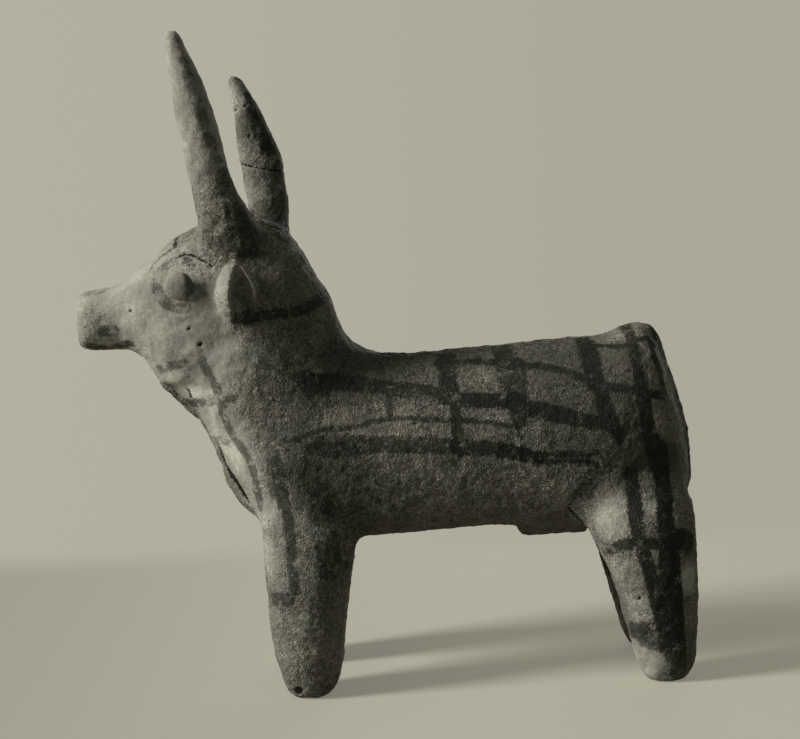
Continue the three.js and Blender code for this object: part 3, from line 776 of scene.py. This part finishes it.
# %% [markdown]
# ## The mended break
# The upper length of the right horn broke off and was set back on. Its joint runs all the way
# round, a little aslant, so it is a level that tilts with x, and not a line of points.
# %% Break of the right horn
break_tilt = 0.22
break_depth = 0.5
horn_margin, horn_zone = 3 * mm, 12 * mm


def break_distance(places):
    """How far each corner is from the break, in mm, and the crack's reach off the horn."""
    root_low, root_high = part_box("horn_right_root")
    middle_z = (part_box("horn_right_tip")[0].z + root_high.z) / 2
    middle_x = (root_low.x + root_high.x) / 2
    on_horn = places[:, 1] > root_low.y - horn_margin
    on_horn &= places[:, 2] > middle_z - horn_zone
    level = places[:, 2] - middle_z + math.tan(break_tilt) * (places[:, 0] - middle_x)
    return np.where(on_horn, np.abs(level) / mm, crack_reach)


def normals_of(piece):
    return read(piece.data.vertex_normals, "vector", each=3)


ring = break_distance(places)
crack = np.minimum(crack, ring)
sink = np.maximum(sink, break_depth * np.clip(1 - ring / crack_width, 0, 1))
places = places - normals_of(form) * (sink * mm)[:, None]
places = np.clip(places, np.array(cad_low), np.array(cad_high))
form.data.vertices.foreach_set("co", places.ravel())
form.data.update()
for name, values in (("ink", ink), ("strong", strong), ("stain", stain), ("crack", crack)):
    store(form.data, name, values)
print("sunk corners:", int((sink > 0).sum()))

# %% [markdown]
# ## Back to separate pieces
# The fired bull is still an assembly, so the skin is handed back to its pieces. Every face asks
# which frame piece lies nearest and takes that piece's number. Because the faces are only shared
# out and none is cut, no seam shows between two pieces.
# %% Geometry Nodes: nearest piece
skin_names = smeared_names + crisp_names


def numbered_frame():
    """All frame pieces in one hidden mesh, with the piece's number on its faces."""
    whole = bmesh.new()
    for name in skin_names:
        whole.from_mesh(nodes[name].data)
    counts = [len(nodes[name].data.polygons) for name in skin_names]
    guide = from_bmesh("guide", whole)
    number = guide.data.attributes.new("number", "INT", "FACE")
    number.data.foreach_set("value", np.repeat(np.arange(len(counts)), counts).astype(np.int32))
    return guide


def nearest_tree():
    board, given, out = geometry_tree("nearest piece", [("guide", "Object", None)])
    guide = board.add("GeometryNodeObjectInfo", {"Object": given["guide"]}).outputs["Geometry"]
    number = board.add("GeometryNodeInputNamedAttribute", {"Name": "number"}, data_type="INT")
    inputs = {"Mesh": guide, "Value": number.outputs[0]}
    sample = board.add("GeometryNodeSampleNearestSurface", inputs, data_type="INT").outputs[0]
    inputs = {"Geometry": given["Geometry"], "Name": "piece", "Value": sample}
    kept = board.add("GeometryNodeStoreNamedAttribute", inputs, data_type="INT", domain="FACE")
    board.plug(out[0], kept.outputs[0])
    return board.tree


guide = numbered_frame()
use_tree(form, nearest_tree(), guide=guide)
bpy.data.objects.remove(guide)
piece_of_face = read(form.data.attributes["piece"].data, "value", np.int32)
print("faces per piece:", dict(zip(skin_names, np.bincount(piece_of_face).tolist())))

# %% [markdown]
# ## Sharing out the faces
# A piece should be one connected patch. Faces that are linked through edges get one label, the
# largest patch of each piece is kept, and every stray face takes the piece of a neighbour. Small
# closed bits that the remesh left inside the hollow go to nobody.
# %% Strays
quads = read(form.data.loops, "vertex_index", np.int32).reshape(-1, 4)
nobody = 99


def face_pairs(quads):
    """Every two faces that share an edge."""
    starts, ends = quads.ravel(), np.roll(quads, -1, axis=1).ravel()
    key = np.minimum(starts, ends).astype(np.int64) << 32 | np.maximum(starts, ends)
    order = np.argsort(key, kind="stable")
    same = key[order][1:] == key[order][:-1]
    return np.stack([order[:-1][same] // 4, order[1:][same] // 4], axis=1)


def patches(count, pairs):
    """The lowest face number of the patch that each face belongs to."""
    label = np.arange(count)
    while True:
        low = np.minimum(label[pairs[:, 0]], label[pairs[:, 1]])
        again = label.copy()
        np.minimum.at(again, pairs[:, 0], low)
        np.minimum.at(again, pairs[:, 1], low)
        again = again[again]
        if (again == label).all():
            return label
        label = again


def without_strays(owner, pairs):
    whole = patches(len(owner), pairs)
    loose = whole != np.bincount(whole).argmax()
    same = owner[pairs[:, 0]] == owner[pairs[:, 1]]
    label = patches(len(owner), pairs[same])
    size = np.bincount(label, minlength=len(owner))
    owner = owner.copy()
    for number in np.unique(owner):
        mine = owner == number
        best = label[mine][np.argmax(size[label[mine]])]
        owner[mine & (label != best)] = -1
    owner[loose] = nobody
    while (owner < 0).any():
        for a, b in ((0, 1), (1, 0)):
            lost = owner[pairs[:, a]] < 0
            owner[pairs[lost, a]] = np.maximum(owner[pairs[lost, a]], owner[pairs[lost, b]])
    return owner


pairs = face_pairs(quads)
owner = without_strays(piece_of_face, pairs)
print("faces moved to a neighbour:", int((owner != piece_of_face).sum()))

# %% [markdown]
# ## Closed pieces
# A patch of skin alone is an open sheet, and a piece of clay is a body. So each border of a patch
# is found, and a fan of faces runs from it to one corner inside the clay. The normals of the whole
# skin are kept on the patch, so that light runs over the border without a step.
# %% Borders and fans
cap_depth = 6 * mm
layers = ("bare", "relief", "ink", "strong", "stain", "crack")
values = {layer: read(form.data.attributes[layer].data, "value", np.float32)
          for layer in layers}
outwards = normals_of(form)


def rims(faces):
    """The closed border lines of a patch of faces, each a list of corners in order."""
    starts, ends = faces.ravel(), np.roll(faces, -1, axis=1).ravel()
    forward = starts.astype(np.int64) << 32 | ends
    backward = ends.astype(np.int64) << 32 | starts
    open_edges = np.flatnonzero(~np.isin(forward, backward))
    following = {}
    for edge in open_edges:
        following.setdefault(int(starts[edge]), []).append(int(ends[edge]))
    lines = []
    while following:
        first = next(iter(following))
        line = [first]
        while True:
            ahead = following[line[-1]]
            corner = ahead.pop()
            if not ahead:
                del following[line[-1]]
            if corner == first:
                break
            line.append(corner)
        lines.append(line)
    return lines


def mesh_from(name, corners, quads, fans):
    """A mesh from the places of its corners, its four-sided faces and its triangles."""
    loops = np.concatenate([quads.ravel(), fans.ravel()])
    totals = np.repeat([4, 3], [len(quads), len(fans)])
    mesh = bpy.data.meshes.new(name)
    mesh.vertices.add(len(corners))
    mesh.vertices.foreach_set("co", corners.ravel())
    mesh.loops.add(len(loops))
    mesh.loops.foreach_set("vertex_index", loops.astype(np.int32))
    mesh.polygons.add(len(totals))
    mesh.polygons.foreach_set("loop_start", np.concatenate([[0], np.cumsum(totals)[:-1]]))
    mesh.polygons.foreach_set("loop_total", totals)
    mesh.update(calc_edges=True)
    return mesh


def flat_normals(corners, triangles):
    """The normal of each triangle, once for each of its three corners."""
    a, b, c = (corners[triangles[:, k]] for k in range(3))
    flat = np.cross(b - a, c - a)
    flat /= np.maximum(np.linalg.norm(flat, axis=1), 1e-12)[:, None]
    return np.repeat(flat, 3, axis=0)


def make_piece(name, faces):
    """A closed mesh from a patch of the skin, with a fan over each border inside the clay."""
    used, inverse = np.unique(faces, return_inverse=True)
    local = inverse.reshape(-1, 4)
    middles, fans = [], []
    for line in rims(local):
        inside = places[used[line]].mean(0) - outwards[used[line]].mean(0) * cap_depth
        middle = len(used) + len(middles)
        middles.append(inside)
        fans += [(b, a, middle) for a, b in zip(line, line[1:] + line[:1])]
    corners = np.concatenate([places[used], np.array(middles).reshape(-1, 3)])
    fans = np.array(fans, np.int32).reshape(-1, 3)
    mesh = mesh_from(name, corners, local, fans)
    normals = [outwards[used][local.ravel()], flat_normals(corners, fans)]
    mesh.normals_split_custom_set(np.concatenate(normals))
    for layer in layers:
        blank = np.full(len(middles), -stroke_reach if layer == "ink" else 0.0)
        store(mesh, layer, np.concatenate([values[layer][used], blank]))
    return add_object(name + "_clay", mesh)


pieces = {}
for number, name in enumerate(skin_names):
    pieces[name] = make_piece(name, quads[owner == number])
    print(name, len(pieces[name].data.polygons), "faces")
bpy.data.objects.remove(form)

# %% [markdown]
# ## Eyes
# An eye is a pellet of clay, rolled between two fingers and pressed into a shallow seat. A plain
# sphere would look drilled in, and the frame's pellet has flat facets. So its copy is drawn out
# from the seat into a button with a flat top, remeshed, blurred and worked like the skin. Its half
# away from the muzzle gets painted shade.
# %% Eye pellets
eye_voxel = 0.4 * mm
eye_bulge = 1.4
eye_flat = 0.55
eye_bare = 0.05
# Painted shade on the pellet's back half: where it starts, how far it fades and how dark it gets.
eye_shade_start, eye_shade_fade = 0.9 * mm, 3 * mm
eye_shade_low, eye_shade_high = -0.2, 0.7


def eye_button(name):
    """The frame's pellet, drawn out from its seat. The lower eye_flat, the flatter its top."""
    ball = welded([name], puff)
    inner = min((corner.co.y for corner in ball.verts), key=abs)
    full = max(abs(corner.co.y - inner) for corner in ball.verts)
    side = math.copysign(full * eye_bulge, inner)
    for corner in ball.verts:
        share = abs(corner.co.y - inner) / full
        corner.co.y = inner + side * share ** eye_flat
    return from_bmesh(name + "_clay", ball)


def make_eye(name):
    pellet = remesh(eye_button(name), eye_voxel)
    use_tree(pellet, smear, fill_rounds=1, fill_share=0.0, rounds=8, slim_weight=1.0,
             horn_foot=1.0, muzzle_edge=-1.0, fade=0.01)
    store(pellet.data, "bare", np.full(len(pellet.data.vertices), eye_bare))
    use_tree(pellet, worked, lump_height=0.15, lump_size=6.0, dent_height=0.1, dent_size=3.0,
             pit_depth=0.2, pit_spacing=4.0, grit_height=0.12, grit_size=1.2)
    skin = skin_of(pellet)
    for layer, value in (("ink", -stroke_reach), ("strong", 0.0), ("crack", crack_reach)):
        store(pellet.data, layer, np.full(len(skin), value))
    # The side away from the muzzle is darkened: painted shade on the half of the pellet that turns
    # from the lamp.
    low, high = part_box(name)
    back = (skin[:, 0] - (low.x + high.x) / 2 - eye_shade_start) / eye_shade_fade
    stain = eye_shade_low + np.clip(back, 0, 1) * (eye_shade_high - eye_shade_low)
    store(pellet.data, "stain", stain)
    return pellet


for name in eye_names:
    pieces[name] = make_eye(name)
    print(name, len(pieces[name].data.polygons), "faces")

# %% [markdown]
# ## Grit
# Three effects make every surface of the bull: grit, ink that flakes with some strokes of painted
# shade, and the dark of the gaps, which is soil and painted shade. Each is a shader node group,
# built once, that puts out masks and heights only. The shaders stay in the materials. Where the
# slip is gone, grains of sand stand in the clay. Each cell of a Voronoi texture holds one: most
# are dull, a few are pale quartz and a few are black.
# %% Shader group: grit
fine_grit, coarse_grit = 0.55, 1.5
grain_edge = (0.15, 0.6)
dull_grain = 0.42
grit_in_slip = 0.25


def shader_group(name, inputs, outputs):
    return group_tree("ShaderNodeTree", name, inputs, [(label, "Float") for label in outputs])


def grit_group():
    inputs = [("point", "Vector", None), ("bare", "Float", 0.5), ("relief", "Float", 0.0),
              ("grain", "Float", 1.1), ("rise", "Float", 0.3)]
    board, given, out = shader_group("grit", inputs, ("height", "speckle", "sand"))
    cells = {"Vector": given["point"], "Scale": board.scale(given["grain"])}
    cells = board.add("ShaderNodeTexVoronoi", cells).outputs
    grain = board.step(cells["Distance"], *grain_edge, 1.0, 0.0)
    own = board.axis(cells["Color"], "X")
    fine = board.noise(given["point"], fine_grit, 3.0, 0.6)
    coarse = board.noise(given["point"], coarse_grit, 2.0)
    salt = board.plus(board.times(grain, board.plus(0.3, board.times(own, 0.6))), fine)
    share = board.plus(board.times(given["bare"], 1 - grit_in_slip), grit_in_slip)
    board.plug(out["height"], board.times(salt, given["rise"], share))
    speckle = board.plus(board.times(fine, 0.6), board.times(coarse, 0.4))
    board.plug(out["speckle"], board.plus(speckle, board.times(given["relief"], 0.4)))
    board.plug(out["sand"], board.times(grain, board.minus(own, dull_grain)))
    return board.tree


grit = grit_group()
print(grit.name, len(grit.nodes))

# %% [markdown]
# ## Flaking ink
# The paint was a thin dark wash that clung to the clay and flaked off in crumbs. A picture of it
# would blur close up. Here two noises shake the stored reach, so that the edge is ragged, and a
# third takes crumbs out. A weak stroke lost most of its ink, and what is left of it is thin.
# %% Shader group: flaking ink and painted shade
ragged_edge = 2.6
slow_edge, quick_edge = 3.2, 0.8
soft_edge = 0.7
flake_size = 5.5
flake_edge = (0.1, 0.12)
faint_loss = 0.24
faint_thin = 0.72


def swing(board, value, share):
    """How far a value is from its middle, 0.5, times a share."""
    return board.times(board.minus(value, 0.5), share)


# The strokes of painted shade flake through the same group as the ink.
def flaking_group():
    inputs = [("point", "Vector", None), ("reach", "Float", -5.0), ("strong", "Float", 1.0),
              ("wobble", "Float", 0.9), ("loss", "Float", 0.3), ("speckle", "Float", 0.5)]
    board, given, out = shader_group("flaking ink and shade", inputs, ("cover",))
    shake = board.times(given["wobble"], ragged_edge)
    slow = swing(board, board.noise(given["point"], slow_edge, 2.0), shake)
    quick = board.noise(given["point"], quick_edge, 3.0)
    edge = board.plus(given["reach"], slow, swing(board, quick, shake))
    inside = board.step(edge, -soft_edge, soft_edge)
    faint = board.minus(1.0, given["strong"])
    loss = board.plus(given["loss"], board.times(faint, faint_loss))
    worn = board.noise(given["point"], flake_size, 4.0, 0.65)
    worn = board.plus(worn, swing(board, quick, 0.4))
    left = board.step(worn, board.minus(loss, flake_edge[0]), board.plus(loss, flake_edge[1]))
    # High grains rub bare first.
    rubbed = board.step(given["speckle"], 0.58, 0.7, 1.0, 0.45)
    thin = board.minus(1.0, board.times(faint, faint_thin))
    board.plug(out["cover"], board.times(inside, left, rubbed, thin))
    return board.tree


flaking = flaking_group()
print(flaking.name, len(flaking.nodes))

# %% [markdown]
# ## Soil and painted shade in the gaps
# Cracks, the gap behind the chest strip, the broken toe and the low pits are darkened: soil sits
# where no brush reaches, and the rest is painted shade in the hollows. The crack's distance and
# the relief are stored on the corners already, so the group only has to turn them into one dark
# mask.
# %% Shader group: soil and painted shade
ragged_size, ragged_gap = 1.5, 0.9
pit_dark, pit_level = 0.75, (-0.4, -0.12)


# Dark in cracks and low pits: soil, and painted shade in the hollows.
def soil_and_shade_group():
    inputs = [("point", "Vector", None), ("crack", "Float", 6.0), ("relief", "Float", 0.0),
              ("gap", "Float", 0.45)]
    board, given, out = shader_group("soil_and_shade", inputs, ("dark",))
    ragged = swing(board, board.noise(given["point"], ragged_size, 2.0), ragged_gap)
    gap = board.plus(given["crack"], ragged)
    line = board.step(gap, board.times(given["gap"], 0.5), given["gap"], 1.0, 0.0)
    pit = board.step(given["relief"], *pit_level, 1.0, 0.0)
    board.plug(out["dark"], board.math("MAXIMUM", line, board.times(pit, pit_dark)))
    return board.tree


soil_and_shade = soil_and_shade_group()
print(soil_and_shade.name, len(soil_and_shade.nodes))

# %% [markdown]
# ## Colours
# The print is nearly without colour, a warm olive grey, so clay, slip and paint are greys with a
# little yellow. The colour is built up as the bull was: slip on the clay, paler where light is
# painted on, grains in both, and then the stains, among which is painted shade. Each layer is a
# function of its own, so that one can be changed alone.
# %% Slip, flecks, stain and painted shade
slip_colour = (0.31, 0.305, 0.242, 1)
clay_colour = (0.185, 0.180, 0.138, 1)
# The dull colour of the stains, and of the painted shade among them.
stain_and_shade_colour = (0.072, 0.070, 0.051, 1)
# The ink, also the colour of the strokes of painted shade.
ink_and_shade_colour = (0.015, 0.0145, 0.010, 1)
# The dark of cracks and pits: soil and painted shade.
gap_colour = (0.012, 0.011, 0.008, 1)
tone_size, patch_size, fleck_patch = 18.0, 11.0, 8.0
tone_range = (0.76, 1.22)
# How much paler the slip gets below 0: thick slip, and painted light.
thick_slip_and_painted_light = 1.7
darkest_fleck = 0.25
worn_by_patch, worn_by_speck = 0.8, -1.3
stain_and_shade_by_patch, stain_and_shade_by_speck = 0.9, -0.9


def flecks(board, point, bare, gritty):
    """Salt and pepper on bare clay, hardly any on whole slip, as a factor about 1."""
    salt = board.step(gritty["speckle"], 0.33, 0.7, -0.5, 0.5)
    salt = board.plus(salt, board.times(gritty["sand"], 2.0))
    share = board.plus(board.times(board.math("MAXIMUM", bare, 0.0), 0.7), 0.3)
    uneven = board.step(board.noise(point, fleck_patch, 2.0), 0.38, 0.62, 0.55, 1.1)
    fleck = board.plus(1.0, board.times(share, uneven, salt))
    return board.math("MAXIMUM", fleck, darkest_fleck)


def slip_on_clay(board, point, bare, patchy, speckle, slip):
    """Slip over bare clay. Patches and the speckle break up the mask of what is bare."""
    lost = board.plus(board.times(bare, 0.95), swing(board, patchy, worn_by_patch),
                      swing(board, speckle, worn_by_speck))
    colour = board.colour(board.step(lost, 0.2, 0.8), slip, clay_colour)
    tone = board.step(board.noise(point, tone_size, 4.0, 0.6), 0.32, 0.68, *tone_range)
    # Below 0 the slip gets paler: thick slip, and painted light on lit sides and one shaded strip.
    thick_and_lit = board.step(bare, 0.0, -0.4, 1.0, thick_slip_and_painted_light)
    return board.colour(1.0, colour, board.times(tone, thick_and_lit), "MULTIPLY")


def stained_and_shaded(board, colour, stain, patchy, speckle, fleck):
    """The colour, turned towards a dull one where the mask of stains and painted shade is high."""
    dim = board.plus(stain, swing(board, patchy, stain_and_shade_by_patch),
                     swing(board, speckle, stain_and_shade_by_speck))
    dull = board.colour(1.0, stain_and_shade_colour, fleck, "MULTIPLY")
    return board.colour(board.step(dim, 0.1, 0.9, 0.0, 0.9), colour, dull)


print("slip is", round(slip_colour[0] / clay_colour[0], 2), "times as bright as clay")

# %% [markdown]
# ## Materials
# One function writes the three materials, because they are the same clay with different amounts of
# slip and wear. Over the stained slip, with its painted shade, it lays the ink and the strokes of
# painted shade, and last the soil and painted shade of the gaps. The grains and the gaps also feed
# the bump, which is too fine for the mesh.
# %% Clay materials
stroke_roughness, clay_roughness = 0.78, 0.92
clay_specular = 0.15
gap_depth = 0.25


def use_group(board, tree, **inputs):
    node = board.add("ShaderNodeGroup", node_tree=tree)
    for name, value in inputs.items():
        board.plug(node.inputs[name], value)
    return node.outputs


def blank_material(name):
    material = bpy.data.materials.new(name)
    material.use_nodes = True
    material.node_tree.nodes.clear()
    return material, Board(material.node_tree)


def clay_material(name, slip=slip_colour, wobble=0.8, loss=0.32, rise=0.34, grain=1.1):
    material, board = blank_material(name)
    place = board.add("ShaderNodeTexCoord").outputs["Object"]
    point = board.vector("SCALE", place, scale=1 / mm)
    bare, relief, ink, strong, stain, crack = (
        board.add("ShaderNodeAttribute", attribute_name=layer).outputs["Fac"] for layer in layers)
    gritty = use_group(board, grit, point=point, bare=bare, relief=relief, grain=grain, rise=rise)
    speckle = gritty["speckle"]
    patchy = board.noise(point, patch_size, 4.0, 0.6)
    fleck = flecks(board, point, bare, gritty)
    colour = slip_on_clay(board, point, bare, patchy, speckle, slip)
    colour = board.colour(1.0, colour, fleck, "MULTIPLY")
    colour = stained_and_shaded(board, colour, stain, patchy, speckle, fleck)
    cover = use_group(board, flaking, point=point, reach=ink, strong=strong, wobble=wobble,
                      loss=loss, speckle=speckle)["cover"]
    colour = board.colour(cover, colour, ink_and_shade_colour)
    # Soil and painted shade in cracks and pits.
    dark = use_group(board, soil_and_shade, point=point, crack=crack, relief=relief)["dark"]
    colour = board.colour(dark, colour, gap_colour)
    depth = board.minus(gritty["height"], board.times(dark, gap_depth))
    bump = {"Height": depth, "Distance": mm, "Strength": 1.0}
    bump = board.add("ShaderNodeBump", bump).outputs[0]
    rough = board.step(cover, 0.0, 1.0, clay_roughness, stroke_roughness)
    shader = {"Base Color": colour, "Roughness": rough, "Normal": bump,
              "Specular IOR Level": clay_specular}
    shader = board.add("ShaderNodeBsdfPrincipled", shader).outputs[0]
    board.add("ShaderNodeOutputMaterial", {"Surface": shader})
    return material


finishes = {
    "banded_clay": clay_material("banded clay"),
    "slipped_clay": clay_material("slipped clay", loss=0.36, rise=0.28),
    "dark_clay": clay_material("dark clay", slip=clay_colour),
}
slot_of = {part["node"]: part["material_slot"] for part in frame["record"]["subparts"]}
for name, piece in pieces.items():
    piece.data.materials.clear()
    piece.data.materials.append(finishes[slot_of[name]])
print("finishes:", list(finishes))

# %% [markdown]
# ## The table
# The table is pale and plain and keeps the soft shadows of the legs. Only the camera and mirror
# rays see it pale, and a glow for them alone lifts the shadows. For light that bounces off it, it
# is darker, so that the belly stays in shade. Its far edge melts into the wall, which is the
# world as the camera sees it.
# %% Floor
floor_colour = (0.35, 0.343, 0.270, 1)
floor_bounce = (0.20, 0.196, 0.16, 1)
glow_left = (0.075, 0.073, 0.058, 1)
glow_right = (0.185, 0.180, 0.142, 1)
glow_span = (-260 * mm, 60 * mm)
floor_half = 3.0
table_edge = (190 * mm, 250 * mm)
table_round = (450 * mm, 900 * mm)


def seen_rays(board):
    """1 for the rays of the camera, of mirrors and of glass, and 0 for rays of light."""
    rays = board.add("ShaderNodeLightPath").outputs
    seen = board.math("MAXIMUM", rays["Is Camera Ray"], rays["Is Glossy Ray"])
    return board.math("MAXIMUM", seen, rays["Is Transmission Ray"])


def make_floor():
    mesh = bpy.data.meshes.new("floor")
    h = floor_half
    mesh.from_pydata([(-h, -h, 0), (h, -h, 0), (h, h, 0), (-h, h, 0)], [], [(0, 1, 2, 3)])
    floor = add_object("floor", mesh)
    material, board = blank_material("floor")
    seen = seen_rays(board)
    colour = board.colour(seen, floor_bounce, floor_colour)
    shader = board.add("ShaderNodeBsdfDiffuse", {"Color": colour}).outputs[0]
    place = board.add("ShaderNodeTexCoord").outputs["Object"]
    glow = board.step(board.axis(place, "X"), *glow_span)
    glow = board.colour(glow, glow_left, glow_right)
    glow = board.add("ShaderNodeEmission", {"Color": glow, "Strength": seen}).outputs[0]
    shader = board.add("ShaderNodeAddShader", {0: shader, 1: glow}).outputs[0]
    far = board.add("ShaderNodeVectorMath", {0: place}, operation="LENGTH").outputs["Value"]
    back = board.step(board.axis(place, "Y"), *table_edge)
    beyond = board.math("MAXIMUM", back, board.step(far, *table_round))
    beyond = board.times(beyond, seen)
    clear = board.add("ShaderNodeBsdfTransparent").outputs[0]
    shader = board.add("ShaderNodeMixShader", {0: beyond, 1: shader, 2: clear}).outputs[0]
    board.add("ShaderNodeOutputMaterial", {"Surface": shader})
    mesh.materials.append(material)


make_floor()
print("floor laid")

# %% [markdown]
# ## Lamps
# The shadows in the photograph are long, narrow and soft: a tall, slim window stood low on the
# left, a little before the bull. A weak lamp behind the bull keeps its far flank readable from
# there, and hangs low, so that it hardly touches the table. The camera sees neither lamp.
# %% Lamps
lamp_target = Vector((0, 0, 120 * mm))


def make_lamp(name, turn, height, away, size, power):
    """A rectangular lamp that looks at the bull, turned from -X towards the camera."""
    turn, height = math.radians(turn), math.radians(height)
    back = Vector((-math.cos(height) * math.cos(turn), -math.cos(height) * math.sin(turn),
                   math.sin(height)))
    data = bpy.data.lights.new(name, "AREA")
    data.shape = "RECTANGLE"
    data.size, data.size_y = size
    data.energy = power
    lamp = add_object(name, data)
    lamp.location = lamp_target + back * away
    lamp.rotation_mode = "QUATERNION"
    lamp.rotation_quaternion = back.to_track_quat("Z", "Y")
    lamp.visible_camera = False
    return lamp


key = make_lamp("key", turn=14, height=27, away=4.2, size=(0.84, 3.0), power=230)
make_lamp("fill", turn=-104, height=3, away=2.5, size=(1.6, 0.25), power=36)
print("key lamp at", [round(v, 2) for v in key.location])

# %% [markdown]
# ## Sky and wall
# The room gives a little light from all sides. The wall behind the bull is plain and a shade
# darker on the right. A modelled wall would catch the lamp, so the world draws it, for seen rays
# only.
# %% World
sky_colour, sky_strength = (1, 0.99, 0.95, 1), 0.12
wall_span = (-0.18, 0.18)
wall_left = (0.445, 0.440, 0.356, 1)
wall_right = (0.402, 0.397, 0.319, 1)


def make_sky():
    world = bpy.data.worlds.new("sky")
    bpy.context.scene.world = world
    world.use_nodes = True
    world.node_tree.nodes.clear()
    board = Board(world.node_tree)
    ray = board.add("ShaderNodeTexCoord").outputs["Generated"]
    wall = board.colour(board.step(board.axis(ray, "X"), *wall_span), wall_left, wall_right)
    wall = board.add("ShaderNodeBackground", {"Color": wall}).outputs[0]
    sky = {"Color": sky_colour, "Strength": sky_strength}
    sky = board.add("ShaderNodeBackground", sky).outputs[0]
    both = board.add("ShaderNodeMixShader", {0: seen_rays(board), 1: sky, 2: wall}).outputs[0]
    board.add("ShaderNodeOutputWorld", {"Surface": both})


make_sky()
bpy.context.scene.view_settings.view_transform = "Standard"
print("sky strength:", sky_strength)

# %% [markdown]
# ## Hand the pieces to the frame
# Each piece rides on the one body, and its frame node is hidden.
# %% Finish
for name, piece in pieces.items():
    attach(piece, "root")
    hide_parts(name)
